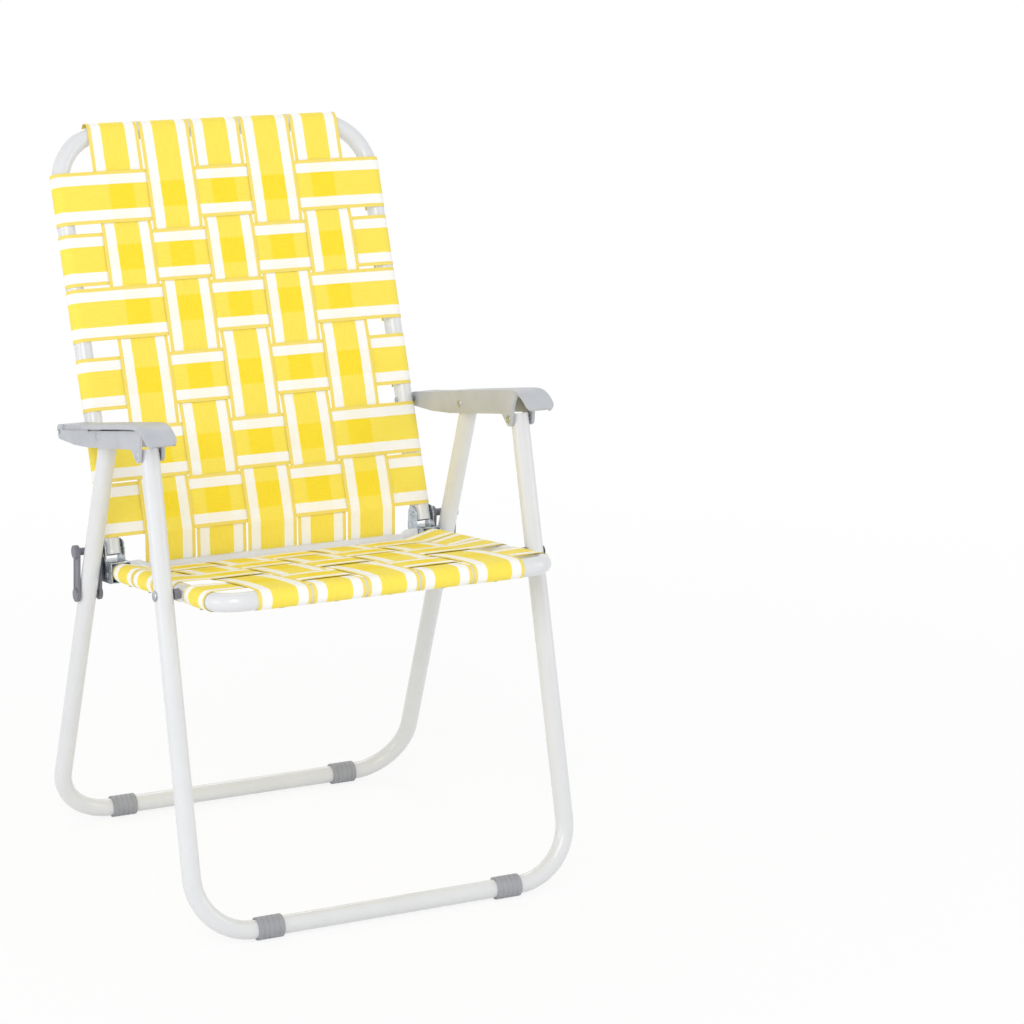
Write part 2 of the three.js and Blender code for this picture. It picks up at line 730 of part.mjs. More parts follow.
function backCrossStrap(index) {
  const path = crossStrapPath(matHeight, (long) => crossOverInBack(index, long));
  const outline = ribbonOutline(path);
  const [from, to] = backStrapSpans[index];
  const rings = [from, to].map((z) => outline.map((point) => new THREE.Vector3(point.x, -point.y, z)));
  return loft(rings, outline);
}

// The point at a given distance from a centre on the stretch between two points, nearest the first
function pointAtRadius(from, to, centre, radius) {
  const step = to.clone().sub(from);
  const offset = from.clone().sub(centre);
  const a = step.dot(step);
  const b = 2 * offset.dot(step);
  const c = offset.dot(offset) - radius * radius;
  const share = (-b - Math.sqrt(b * b - 4 * a * c)) / (2 * a);
  return from.clone().addScaledVector(step, share);
}

// Long straps cross the hinge between the lowest back strap and the cross bar's rear side.
// Points of the side view here are in the chair's own y and z.
const backOut = new THREE.Vector2(-backDirection.y, backDirection.x);
const crossBarPlace = seatOrigin.clone()
  .addScaledVector(seatForward, crossBarForward).addScaledVector(seatUp, -crossBarDrop);
const barStrapRadius = crossBarRadius + clearance + strapThickness / 2;

function longStrapHingeRun(long) {
  const lift = crossOverInBack(0, long) ? -strapLift : strapLift;
  const start = hingePoint.clone()
    .addScaledVector(backDirection, backStrapStart).addScaledVector(backOut, matHeight + lift);
  const touch = touchPoint(crossBarPlace, barStrapRadius, start, -1);
  return { start, touch };
}

function backLongStrap(long, group) {
  const { start, touch } = longStrapHingeRun(long);
  const end = inGroup(group, pointAtRadius(start, touch, hingePoint, hingeSplitRadius));
  const path = [new THREE.Vector2(end.y, -end.x)];
  backStrapSpans.forEach((span, cross) => {
    const lift = crossOverInBack(cross, long) ? -strapLift : strapLift;
    span.forEach((along) => path.push(new THREE.Vector2(along, matHeight + lift)));
  });
  path.push(...wrapPoints(backLength, 0, strapRadius, 90, -90));
  path.push(new THREE.Vector2(backLength - longStrapTailTurn, -strapRadius));
  const outline = ribbonOutline(path);
  const centre = longStrapCentres[long];
  const rings = [centre - strapWidth / 2, centre + strapWidth / 2].map((x) => (
    outline.map((point) => new THREE.Vector3(x, -point.y, point.x))
  ));
  return loft(rings, outline);
}

function addBack(chair) {
  const group = tiltedGroup(hingePoint, backDirection);
  addMesh(group, 'back_tube', backTube(), whiteSteel);
  backStrapSpans.forEach((span, index) => {
    addMesh(group, `back_cross_strap_${index + 1}`, backCrossStrap(index), yellowWebbing);
  });
  longStrapCentres.forEach((centre, index) => {
    addMesh(group, `back_long_strap_${index + 1}`, backLongStrap(index, group), yellowWebbing);
  });
  const inner = frameHalfWidth - tubeRadius - clearance - bracketSheet;
  const outer = linkOuterFace + linkPlate;
  [['left', 1], ['right', -1]].forEach(([name, side]) => {
    const rivet = rivetAcross(
      side, inner, outer, new THREE.Vector2(0, 0), rivetHeadRadius, rivetHeadThickness, hingeHeadThickness,
    );
    addMesh(group, `hinge_rivet_${name}`, rivet, zinc);
  });
  chair.add(group);
}

// Seat frame: its group stands under the hinge, -y forward along the seat and z up from it
function seatTube(group) {
  const line = new BentLine([
    new THREE.Vector3(-frameHalfWidth, seatTubeTail, 0),
    new THREE.Vector3(-frameHalfWidth, -seatLength, 0),
    new THREE.Vector3(frameHalfWidth, -seatLength, 0),
    new THREE.Vector3(frameHalfWidth, seatTubeTail, 0),
  ], seatBendRadius);
  const reach = frameHalfWidth + tubeRadius + cutOverrun;
  const place = inGroup(group, crossBarPlace);
  return cut(bentTube(line), [barAcross(pinHoleRadius, -reach, reach, place)]);
}

// Cross bar: round between the outer long straps, flattened and taller at both ends
function crossBar(group) {
  const place = inGroup(group, crossBarPlace);
  const end = frameHalfWidth - tubeRadius - 2 * clearance - bracketSheet;
  const flat = end - crossBarFlatLength;
  const round = flat - crossBarFlareLength;
  const stations = [
    [-end, crossBarFlatHalfDepth, crossBarFlatHalfHeight],
    [-flat, crossBarFlatHalfDepth, crossBarFlatHalfHeight],
    [-round, crossBarRadius, crossBarRadius],
    [round, crossBarRadius, crossBarRadius],
    [flat, crossBarFlatHalfDepth, crossBarFlatHalfHeight],
    [end, crossBarFlatHalfDepth, crossBarFlatHalfHeight],
  ];
  const unit = Array.from({ length: 2 * tubeSegments }, (unused, index) => {
    const angle = (Math.PI * index) / tubeSegments;
    return new THREE.Vector2(Math.cos(angle), Math.sin(angle));
  });
  const rings = stations.map(([x, depth, height]) => (
    unit.map((point) => new THREE.Vector3(x, place.x + point.x * depth, place.y + point.y * height))
  ));
  const pinEnd = end - bracketPinDepth;
  const tools = [1, -1].map((side) => (
    barAcross(bracketPinRadius + clearance, side * pinEnd, side * (end + cutOverrun), place)
  ));
  return cut(loft(rings, unit), tools);
}

// Hinge bracket: two ears beside both tubes, and a box round the rear end of the seat tube
function bracket(side, group) {
  const hinge = inGroup(group, hingePoint);
  const inner = frameHalfWidth - tubeRadius - clearance - bracketSheet;
  const outer = frameHalfWidth + tubeRadius + clearance + bracketSheet;
  const half = tubeRadius + clearance + bracketSheet;
  const shape = new THREE.Shape();
  shape.moveTo(-bracketFrontReach, -half + bracketCorner);
  shape.lineTo(-bracketFrontReach + bracketCorner, -half);
  shape.lineTo(bracketRearReach - bracketCorner, -half);
  shape.lineTo(bracketRearReach, -half + bracketCorner);
  shape.lineTo(bracketRearReach, half);
  arcPoints(hinge.x, hinge.y, bracketLobeRadius, 0, 180).forEach((point) => shape.lineTo(point.x, point.y));
  shape.lineTo(hinge.x - bracketLobeRadius, half);
  shape.lineTo(-bracketFrontReach + bracketCorner, half);
  shape.lineTo(-bracketFrontReach, half - bracketCorner);
  shape.closePath();
  const block = plateAcross(shape, side * inner, side * outer);
  const cavity = (low, high) => {
    const opening = new THREE.Shape();
    const reach = bracketFrontReach + bracketRearReach + cutOverrun;
    opening.moveTo(-reach, low);
    opening.lineTo(reach, low);
    opening.lineTo(reach, high);
    opening.lineTo(-reach, high);
    opening.closePath();
    return plateAcross(opening, side * (inner + bracketSheet), side * (outer - bracketSheet));
  };
  const seatCavity = cavity(-half + bracketSheet, half - bracketSheet);
  const backCavity = cavity(half, hinge.y + bracketLobeRadius + cutOverrun);
  const reachIn = side * (inner - cutOverrun);
  const reachOut = side * (outer + cutOverrun);
  const tools = [
    seatCavity,
    backCavity,
    barAcross(pinHoleRadius, reachIn, reachOut, hinge),
    barAcross(pinHoleRadius, reachIn, reachOut, inGroup(group, crossBarPlace)),
  ];
  return cut(block, tools);
}

// The rivet that holds the bracket and the cross bar to the seat tube
function bracketRivet(side, group) {
  const place = inGroup(group, crossBarPlace);
  const outer = frameHalfWidth + tubeRadius + 2 * clearance + bracketSheet;
  const end = frameHalfWidth - tubeRadius - 2 * clearance - bracketSheet - bracketPinDepth + clearance;
  const profile = [
    [end, 0],
    [end, bracketPinRadius],
    [outer, bracketPinRadius],
    [outer, smallHeadRadius],
    [outer + rivetHeadThickness - rivetHeadEdge, smallHeadRadius],
    [outer + rivetHeadThickness, smallHeadRadius - rivetHeadEdge],
    [outer + rivetHeadThickness, 0],
  ];
  return turnedAcross(profile.map(([x, radius]) => [side * x, radius]), place);
}

function seatCrossStrap(index) {
  const spans = seatStrapSpans[index];
  const outlines = spans.map((forward) => (
    ribbonOutline(crossStrapPath(seatMatHeight(forward), (long) => crossOverInSeat(index, long)))
  ));
  const rings = outlines.map((outline, end) => (
    outline.map((point) => new THREE.Vector3(point.x, -spans[end], point.y))
  ));
  return loft(rings, outlines[0]);
}

// A long strap's seat part, as a path of distance forward and height: down behind the cross bar,
// round below it, along the seat, over the front bar and back under it
function seatLongStrap(long, group) {
  const { start, touch } = longStrapHingeRun(long);
  const top = pointAtRadius(start, touch, hingePoint, hingeSplitRadius - hingeSplitGap);
  const [topPlace, touchPlace, bar] = [top, touch, crossBarPlace].map((point) => {
    const place = inGroup(group, point);
    return new THREE.Vector2(-place.x, place.y);
  });
  const [firstEdge] = seatStrapSpans[0];
  const lift = crossOverInSeat(0, long) ? -strapLift : strapLift;
  const firstPoint = new THREE.Vector2(firstEdge, seatMatHeight(firstEdge) + lift);
  const leave = touchPoint(bar, barStrapRadius, firstPoint, -1);
  const fromAngle = THREE.MathUtils.radToDeg(touchPlace.clone().sub(bar).angle());
  const toAngle = THREE.MathUtils.radToDeg(leave.clone().sub(bar).angle());
  const path = [topPlace, ...wrapPoints(bar.x, bar.y, barStrapRadius, fromAngle, toAngle)];
  seatStrapSpans.forEach((span, cross) => {
    const rise = crossOverInSeat(cross, long) ? -strapLift : strapLift;
    span.forEach((forward) => path.push(new THREE.Vector2(forward, seatMatHeight(forward) + rise)));
  });
  path.push(...wrapPoints(seatLength, 0, strapRadius, 90, -90));
  path.push(new THREE.Vector2(seatLength - longStrapTailTurn, -strapRadius));
  const outline = ribbonOutline(path);
  const centre = longStrapCentres[long];
  const rings = [centre - strapWidth / 2, centre + strapWidth / 2].map((x) => (
    outline.map((point) => new THREE.Vector3(x, -point.x, point.y))
  ));
  return loft(rings, outline);
}

function addSeat(chair) {
  const group = tiltedGroup(seatOrigin, seatUp);
  addMesh(group, 'seat_tube', seatTube(group), whiteSteel);
  addMesh(group, 'seat_cross_bar', crossBar(group), whiteSteel);
  [['left', 1], ['right', -1]].forEach(([name, side]) => {
    addMesh(group, `hinge_bracket_${name}`, bracket(side, group), zinc);
    addMesh(group, `bracket_rivet_${name}`, bracketRivet(side, group), zinc);
  });
  seatStrapSpans.forEach((span, index) => {
    addMesh(group, `seat_cross_strap_${index + 1}`, seatCrossStrap(index), yellowWebbing);
  });
  longStrapCentres.forEach((centre, index) => {
    addMesh(group, `seat_long_strap_${index + 1}`, seatLongStrap(index, group), yellowWebbing);
  });
  chair.add(group);
}

// Link: two plates beside the rear leg and a spacer behind it, in a group that stands at the hinge
function linkPlateShape(length) {
  const shape = new THREE.Shape();
  shape.absarc(0, 0, linkHalfWidth, 0, Math.PI, false);
  shape.absarc(0, -length, linkHalfWidth, Math.PI, 2 * Math.PI, false);
  shape.closePath();
  return shape;
}

function linkSidePlate(length, face, outward) {
  const far = face + outward * linkPlate;
  const plate = plateAcross(linkPlateShape(length), face, far);
  const bossPlace = new THREE.Vector2(0, -length);
  const boss = barAcross(linkBossRadius, far - outward * linkPlate / 2, far + outward * linkBossHeight, bossPlace);
  const hole = barAcross(
    pinHoleRadius, face - outward * cutOverrun, far + outward * cutOverrun, new THREE.Vector2(0, 0),
  );
  return cut(join([plate, boss]), [hole]);
}

function addLinks(chair) {
  const group = tiltedGroup(hingePoint, hingePoint.clone().sub(linkPivot).normalize());
  const length = hingePoint.distanceTo(linkPivot);
  const place = new THREE.Vector2(0, 0);
  [['left', 1], ['right', -1]].forEach(([name, side]) => {
    const innerFace = side * (linkInnerFace + linkPlate);
    const outerFace = side * linkOuterFace;
    addMesh(group, `link_inner_plate_${name}`, linkSidePlate(length, innerFace, -side), darkPlastic);
    addMesh(group, `link_outer_plate_${name}`, linkSidePlate(length, outerFace, side), darkPlastic);
    const from = side * (linkInnerFace + linkPlate + clearance);
    const to = side * (linkOuterFace - clearance);
    const bore = barAcross(linkSpacerBore, from - side * cutOverrun, to + side * cutOverrun, place);
    const spacer = cut(barAcross(linkSpacerRadius, from, to, place), [bore]);
    addMesh(group, `link_spacer_${name}`, spacer, darkPlastic);
  });
  chair.add(group);
}

const chair = new THREE.Group();
addRearLegs(chair);
addFrontLegs(chair);
addArmrests(chair);
addBack(chair);
addSeat(chair);
addLinks(chair);

// The origin lies on the floor under the middle of the chair's length
chair.updateMatrixWorld(true);
const middle = new THREE.Box3().setFromObject(chair, true).getCenter(new THREE.Vector3());
chair.position.y = -middle.y;
chair.updateMatrixWorld(true);

export default chair;
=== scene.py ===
# %% [markdown]
# A folding webbed lawn chair: four hoops of bent steel tube, two plastic armrests, two plastic links and
# woven webbing in yellow and white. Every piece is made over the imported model, which is the fixed
# frame, in metres, with x across the chair and the sitter facing -y.

# %% Load the frame
import bmesh
import bpy
import json
import numpy as np
from mathutils import Matrix, Vector


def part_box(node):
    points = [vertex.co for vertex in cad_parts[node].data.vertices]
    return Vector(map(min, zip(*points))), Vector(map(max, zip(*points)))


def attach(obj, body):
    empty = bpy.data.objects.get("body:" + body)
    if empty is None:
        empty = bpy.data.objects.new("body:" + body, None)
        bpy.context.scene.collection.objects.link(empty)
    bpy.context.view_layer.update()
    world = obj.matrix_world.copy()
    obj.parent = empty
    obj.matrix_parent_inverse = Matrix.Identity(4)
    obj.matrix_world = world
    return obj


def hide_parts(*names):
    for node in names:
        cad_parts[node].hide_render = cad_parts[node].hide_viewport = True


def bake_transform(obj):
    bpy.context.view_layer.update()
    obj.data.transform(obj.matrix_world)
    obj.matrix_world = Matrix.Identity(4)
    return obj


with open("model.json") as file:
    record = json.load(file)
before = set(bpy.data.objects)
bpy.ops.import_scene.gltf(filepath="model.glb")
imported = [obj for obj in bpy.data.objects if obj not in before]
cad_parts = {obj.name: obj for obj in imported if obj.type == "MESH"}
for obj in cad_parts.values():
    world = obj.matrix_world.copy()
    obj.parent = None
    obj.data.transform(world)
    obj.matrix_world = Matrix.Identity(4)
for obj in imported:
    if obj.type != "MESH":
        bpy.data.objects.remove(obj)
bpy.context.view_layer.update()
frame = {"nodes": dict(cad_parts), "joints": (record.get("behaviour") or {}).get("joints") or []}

# %% [markdown]
# Everything hangs on a few points of the side view. The pivots are read from the frame's joints, and
# the two that carry no joint are read from the spacer and the pin that mark them.

# %% Points of the side view, as y and z
mm = 0.001
pivot = {joint["name"]: np.array(joint["pos_m"][1:], float) for joint in frame["joints"]}
hinge = pivot["seat_turn"]
arm_pivot = pivot["back_turn"]
rear_leg_pivot = pivot["fold"]
front_leg_pivot = pivot["front_leg_turn"]
foot_bar_height = 13 * mm
sides = {"left": 1, "right": -1}


def middle_of(node):
    """The middle of a node's box, as y and z."""
    low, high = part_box(node)
    return np.array([(low.y + high.y) / 2, (low.z + high.z) / 2])


def unit(vector):
    """A vector divided by its length."""
    return vector / np.linalg.norm(vector)


seat_pivot = middle_of("seat_spacer_left")
link_pivot = middle_of("link_pin_left")
front_foot = np.array([middle_of("front_foot_clip_left")[0], foot_bar_height])
rear_foot = np.array([middle_of("rear_foot_clip_left")[0], foot_bar_height])
print("hinge", hinge, "feet", front_foot, rear_foot)

# %% [markdown]
# The photograph was taken with a long lens from the sitter's right, a little above the seat. The camera
# was fitted to the straight tubes. It is given as its place, the two angles of its view and a slight
# roll.

# %% Camera
camera_from_feet = np.array([-1491.9, -3462.1, 1349.1]) * mm
view_azimuth, view_elevation, view_roll = np.radians([-27.1334, 13.5832, 0.4538])
photo_pixels = 1024
focal_pixels = 3190.8
sensor_width = 36.0


def placed(name, data):
    """A new object of the scene for a camera, a mesh or a lamp."""
    thing = bpy.data.objects.new(name, data)
    bpy.context.scene.collection.objects.link(thing)
    return thing


def camera_turn():
    """The camera's three axes as a turn: it looks against 'back', and the roll mixes right and up."""
    back = np.array([
        np.sin(view_azimuth) * np.cos(view_elevation),
        -np.cos(view_azimuth) * np.cos(view_elevation),
        np.sin(view_elevation),
    ])
    right = np.array([np.cos(view_azimuth), np.sin(view_azimuth), 0])
    up = np.cross(back, right)
    rolled_right = np.cos(view_roll) * right + np.sin(view_roll) * up
    rolled_up = np.cos(view_roll) * up - np.sin(view_roll) * right
    return Matrix(np.array([rolled_right, rolled_up, back]).T.tolist()).to_4x4()


camera_data = bpy.data.cameras.new("camera")
camera_data.sensor_width = sensor_width
camera_data.lens = focal_pixels * sensor_width / photo_pixels
camera = placed("camera", camera_data)
feet_middle = np.array([0, (front_foot[0] + rear_foot[0]) / 2, 0])
camera.matrix_world = Matrix.Translation((camera_from_feet + feet_middle).tolist()) @ camera_turn()
bpy.context.scene.camera = camera
print("lens", round(camera_data.lens, 2))

# %% [markdown]
# A surface is worked out with numpy as a grid of points: rows along the piece and columns round it.
# Points that fall together, as at the tip of a rivet's head, are merged afterwards.

# %% Grid to mesh
merge_distance = 0.001 * mm
least_edge = 0.0001 * mm
hard_edge_angle = 40


def grid_faces(rows, columns, close_rows=False, caps=False):
    """Quads of a grid: each joins a point to its neighbours in the next row and the next column."""
    row = np.arange(rows if close_rows else rows - 1)
    r, c = np.meshgrid(row, np.arange(columns), indexing="ij")
    next_r, next_c = (r + 1) % rows, (c + 1) % columns
    corners = [r * columns + c, r * columns + next_c, next_r * columns + next_c, next_r * columns + c]
    faces = np.stack(corners, -1).reshape(-1, 4).tolist()
    if caps:
        faces += [list(range(columns)), list(range((rows - 1) * columns, rows * columns))]
    return faces


def shaded(mesh, angle=hard_edge_angle):
    """Shades a mesh smooth, but for the edges that are sharper than an angle."""
    mesh.shade_smooth()
    mesh.set_sharp_from_angle(angle=np.radians(angle))
    return mesh


def tidied(mesh, angle=hard_edge_angle, merge=True):
    """Merges points that coincide, turns the faces outwards and shades smooth up to an angle."""
    work = bmesh.new()
    work.from_mesh(mesh)
    if merge:
        bmesh.ops.remove_doubles(work, verts=work.verts, dist=merge_distance)
        bmesh.ops.dissolve_degenerate(work, dist=least_edge, edges=work.edges)
    bmesh.ops.recalc_face_normals(work, faces=work.faces)
    work.to_mesh(mesh)
    work.free()
    return shaded(mesh, angle)


def grid_mesh(name, points, close_rows=False, caps=False):
    """A mesh object from a grid of points, shaped rows by columns by 3. Caps close the end rows."""
    mesh = bpy.data.meshes.new(name)
    mesh.from_pydata(points.reshape(-1, 3), [], grid_faces(*points.shape[:2], close_rows, caps))
    return placed(name, tidied(mesh))


def joined(name, pieces):
    """Several mesh objects made one, each still a closed shell of its own."""
    work = bmesh.new()
    for piece in pieces:
        work.from_mesh(piece.data)
        bpy.data.meshes.remove(piece.data)
    mesh = bpy.data.meshes.new(name)
    work.to_mesh(mesh)
    work.free()
    return placed(name, tidied(mesh))


# %% [markdown]
# Holes and pockets are cut with the Boolean modifier and edges are broken with Bevel. Both are applied
# at once, so that each piece ends as a plain mesh.

# %% Cutting and edge breaking
round_sides = 40
quarter_steps = 6


def bake(piece):
    """Applies the piece's modifiers by taking the evaluated mesh."""
    graph = bpy.context.evaluated_depsgraph_get()
    mesh = bpy.data.meshes.new_from_object(piece.evaluated_get(graph))
    piece.modifiers.clear()
    piece.data = shaded(mesh)
    return piece


def cut(piece, tools):
    """Cuts the tools from a piece, one after another, and removes them."""
    for tool in tools:
        change = piece.modifiers.new("cut", "BOOLEAN")
        change.operation = "DIFFERENCE"
        change.solver = "EXACT"
        change.object = tool
        bake(piece)
        bpy.data.objects.remove(tool)
    return piece


def soften(piece, width, segments, angle):
    """Rounds every edge sharper than an angle."""
    change = piece.modifiers.new("soften", "BEVEL")
    change.width = width
    change.segments = segments
    change.limit_method = "ANGLE"
    change.angle_limit = np.radians(angle)
    return bake(piece)


def circle(sides):
    """Points round the unit circle: the cosines and sines of even turns."""
    turn = np.linspace(0, 2 * np.pi, sides, endpoint=False)
    return np.stack([np.cos(turn), np.sin(turn)], -1)


def arc(centre, radius, start, end, count=14):
    """Points on a circle from one angle in degrees to another."""
    turn = np.radians(np.linspace(start, end, count))
    return np.stack([centre[0] + radius * np.cos(turn), centre[1] + radius * np.sin(turn)], -1)


def at(x, places):
    """Points of the side view, each put at a place in x."""
    return np.concatenate([np.broadcast_to(x, places.shape[:-1])[..., None], places], -1)


def drawn_out(name, outline, x_from, x_to):
    """A block: an outline of the side view, drawn out between two places in x and capped."""
    return grid_mesh(name, np.array([at(x, outline) for x in (x_from, x_to)]), caps=True)


def rod(x_from, x_to, centre, radius):
    """A cylinder along x round a point of the side view."""
    return drawn_out("rod", centre + radius * circle(round_sides), x_from, x_to)


# %% [markdown]
# All four hoops are the same steel tube, 22 mm across. Its centre line lies in a plane and turns its
# corners on arcs. The skin is a circle carried out along the outside and back along the inside, so the
# wall has its real thickness at the open ends.

# %% Tube stock
tube_radius = 11 * mm
tube_wall = 1.2 * mm
clearance = 0.3 * mm
station_step = 14 * mm
bend_steps = 28
hole_radius = 3.5 * mm
tube_reach = 262 * mm


def stations(start, stop):
    """Even places from start towards stop, without stop itself."""
    count = max(int(np.linalg.norm(stop - start) / station_step), 1)
    return start + np.linspace(0, 1, count, endpoint=False)[:, None] * (stop - start)


def bent_line(corners, bend_radius):
    """Places along a line with rounded corners: at each corner the arc starts a tangent's length before
    it, and its points are the arc's centre plus the radius turned from the one normal to the other."""
    corners = np.array(corners, float)
    directions = [unit(b - a) for a, b in zip(corners, corners[1:])]
    places = []
    start = corners[0]
    for into, out, corner in zip(directions, directions[1:], corners[1:]):
        turn = np.arccos(np.clip(into @ out, -1, 1))
        side = np.sign(into[0] * out[1] - into[1] * out[0])
        reach = bend_radius * np.tan(turn / 2)
        stop = corner - reach * into
        normal = side * np.array([-into[1], into[0]])
        centre = stop + bend_radius * normal
        angle = side * np.linspace(0, turn, bend_steps, endpoint=False)[:, None]
        places.append(stations(start, stop))
        places.append(centre - bend_radius * (np.cos(angle) * normal + np.sin(angle) * side * -into))
        start = corner + reach * out
    return np.concatenate([*places, stations(start, corners[-1]), corners[-1:]])


def tube(name, line, origin, along):
    """A hollow tube. The line is given as x and a distance along a direction of the side view. Each ring
    is the place plus the radius times cosine of the in-plane normal and sine of the plane's own normal."""
    heading = unit(np.array([0, *along]))
    flat = np.cross([1, 0, 0], heading)
    places = np.outer(line[:, 0], [1, 0, 0]) + np.outer(line[:, 1], heading) + [0, *origin]
    tangent = np.gradient(places, axis=0)
    tangent /= np.linalg.norm(tangent, axis=1)[:, None]
    side = np.cross(flat, tangent)
    cosine, sine = circle(round_sides).T[:, :, None]
    ring = cosine * side[:, None] + sine * flat
    outer = places[:, None] + tube_radius * ring
    inner = places[:, None] + (tube_radius - tube_wall) * ring
    return grid_mesh(name, np.concatenate([outer, inner[::-1]]), close_rows=True)


def hoop(name, half_width, start, end, end_half_width, bend_radius, origin, along, holes):
    """A U of tube: two legs from end to start and a bar that joins them there, with rivet holes across
    both legs at points of the side view."""
    corners = [(-end_half_width, end), (-half_width, start), (half_width, start), (end_half_width, end)]
    piece = tube(name, bent_line(corners, bend_radius), origin, along)
    return cut(piece, [rod(-tube_reach, tube_reach, hole, hole_radius) for hole in holes])


# %% [markdown]
# Every finished piece is noted with its body, the node of the frame that it stands for and its
# material. The last step reads these notes.

# %% Notes on the pieces
pieces = []


def note(piece, body, node, slot, finish=None):
    """Notes a piece's body, its node or None, its material slot and its finish, if that isn't the slot's."""
    pieces.append((piece, body, [node] if node else [], slot, finish or slot))
    return piece


def faces_of(*pieces):
    """The numbers of faces of some pieces."""
    return [len(piece.data.polygons) for piece in pieces]


# %% [markdown]
# The leg hoops spread a little towards the floor, by the few millimetres that let the rear hoop fold
# inside the armrests. Each leg has two cross holes for its rivets.

# %% Leg hoops
foot_half_width = 242 * mm
leg_top_half_width = 237.5 * mm
leg_bend_radius = 70 * mm
leg_top_overrun = 6 * mm


def leg_half_width(length, along):
    """The hoop's half width, which changes evenly from the floor bar to the top pivot."""
    return foot_half_width + (leg_top_half_width - foot_half_width) * along / length


def leg_hoop(end, foot, top, other_hole):
    """A leg hoop from its floor bar's middle to its top pivot, with holes there and at another point."""
    length = np.linalg.norm(top - foot)
    tip = length + leg_top_overrun
    piece = hoop(
        f"{end}_leg_hoop", foot_half_width, 0, tip, leg_half_width(length, tip), leg_bend_radius,
        foot, top - foot, [top, other_hole],
    )
    return note(piece, f"{end}_leg_frame", f"{end}_leg_tube", "white_steel")


rear_hoop = leg_hoop("rear", rear_foot, rear_leg_pivot, link_pivot)
front_hoop = leg_hoop("front", front_foot, front_leg_pivot, seat_pivot)
print("leg hoops", faces_of(rear_hoop, front_hoop), "faces")

# %% [markdown]
# The back is a tall hoop that leans, and the seat a shallow one that slopes down to the rear. The back's
# line runs from the hinge through the arm's pivot, and the seat's slope is known from its tube.

# %% Back and seat hoops
frame_half_width = 208.5 * mm
back_length = 515.3 * mm
back_bend_radius = 68 * mm
back_tube_tail = 8 * mm
seat_slope = np.radians(7.04)
seat_drop = 27.3 * mm
seat_length = 355.3 * mm
seat_bend_radius = 30 * mm
seat_tube_tail = 13 * mm
bar_forward = 14.7 * mm
bar_drop = 2.4 * mm

back_up = unit(arm_pivot - hinge)
back_out = np.array([-back_up[1], back_up[0]])
seat_forward = np.array([-np.cos(seat_slope), np.sin(seat_slope)])
seat_up = np.array([np.sin(seat_slope), np.cos(seat_slope)])
seat_origin = hinge - seat_drop * seat_up
bar_place = seat_origin + bar_forward * seat_forward - bar_drop * seat_up


def frame_hoop(part, length, tail, bend_radius, origin, along, holes):
    """The hoop of the back or the seat, whose two legs are parallel and reach past the hinge by a tail."""
    piece = hoop(
        f"{part}_hoop", frame_half_width, length, -tail, frame_half_width, bend_radius, origin, along, holes,
    )
    return note(piece, f"{part}_frame", f"{part}_tube", "white_steel")


back_hoop = frame_hoop(
    "back", back_length, back_tube_tail, back_bend_radius, hinge, back_up, [hinge, arm_pivot],
)
seat_hoop = frame_hoop(
    "seat", seat_length, seat_tube_tail, seat_bend_radius, seat_origin, seat_forward, [bar_place],
)
print("back and seat hoops", faces_of(back_hoop, seat_hoop), "faces")

# %% [markdown]
# The seat's rear bar is a round tube whose ends were pressed flat and tall, so that each can be riveted
# to its bracket. Its section is an ellipse that goes over from round to flat along a smooth step.

# %% Rear bar of the seat
bar_radius = 9.5 * mm
bar_end = 195 * mm
bar_flat_length = 14 * mm
bar_flare_length = 14 * mm
bar_flat_half_height = 14 * mm
bar_flat_half_depth = 3.2 * mm
bar_edge_round = 0.8 * mm
round_steps, flare_steps, flat_steps = 10, 14, 5


def smooth_step(value, start, end):
    """0 before start and 1 after end, with an even S-shaped rise between."""
    share = np.clip((value - start) / (end - start), 0, 1)
    return share * share * (3 - 2 * share)


def pressed_bar(name):
    """Ellipses along x: the half axes are the round radius, and towards both ends the flat's."""
    flat_from = bar_end - bar_flat_length
    flare_from = flat_from - bar_flare_length
    steps = np.concatenate([
        np.linspace(0, flare_from, round_steps, endpoint=False),
        np.linspace(flare_from, flat_from, flare_steps, endpoint=False),
        np.linspace(flat_from, bar_end - bar_edge_round, flat_steps, endpoint=False),
        bar_end - bar_edge_round * (1 - np.sin(np.linspace(0, np.pi / 2, flat_steps))),
    ])
    x = np.concatenate([-steps[:0:-1], steps])
    press = smooth_step(np.abs(x), flare_from, flat_from)
    rim = np.clip(1 - (bar_end - np.abs(x)) / bar_edge_round, 0, 1)
    inset = bar_edge_round * (1 - np.sqrt(1 - rim ** 2))
    depth = bar_radius + (bar_flat_half_depth - bar_radius) * press - inset
    height = bar_radius + (bar_flat_half_height - bar_radius) * press - inset
    cosine, sine = circle(round_sides).T
    forward = np.multiply.outer(np.outer(depth, cosine), seat_forward)
    up = np.multiply.outer(np.outer(height, sine), seat_up)
    return grid_mesh(name, at(x[:, None], bar_place + forward + up), caps=True)


rear_bar = note(pressed_bar("pressed_rear_bar"), "seat_frame", "seat_cross_bar", "white_steel")
print("rear bar", faces_of(rear_bar), "faces")

# %% [markdown]
# Rivets and pins are turned shapes: a profile of places along x and radii, spun about the pivot. The
# heads are low domes, and the closed end of a set rivet has the dimple that the tool leaves.

# %% Turned shapes
turned_sides = 36
dome_steps, ring_steps = 9, 11
dimple_rim, dimple_radius, dimple_floor = 0.3, 0.36, 0.25


def turned(name, side, profile, centre):
    """Spins a profile of (distance along x, radius) pairs about the x axis through a side view point."""
    profile = np.array(profile, float)
    places = centre + profile[:, 1][:, None, None] * circle(turned_sides)
    return grid_mesh(name, at(side * profile[:, :1], places))


def dome(face, out, radius, height):
    """A low dome's profile from its rim to its middle: a quarter of an ellipse."""
    turn = np.linspace(0, np.pi / 2, dome_steps)
    return [(face + out * height * np.sin(t), radius * np.cos(t)) for t in turn]


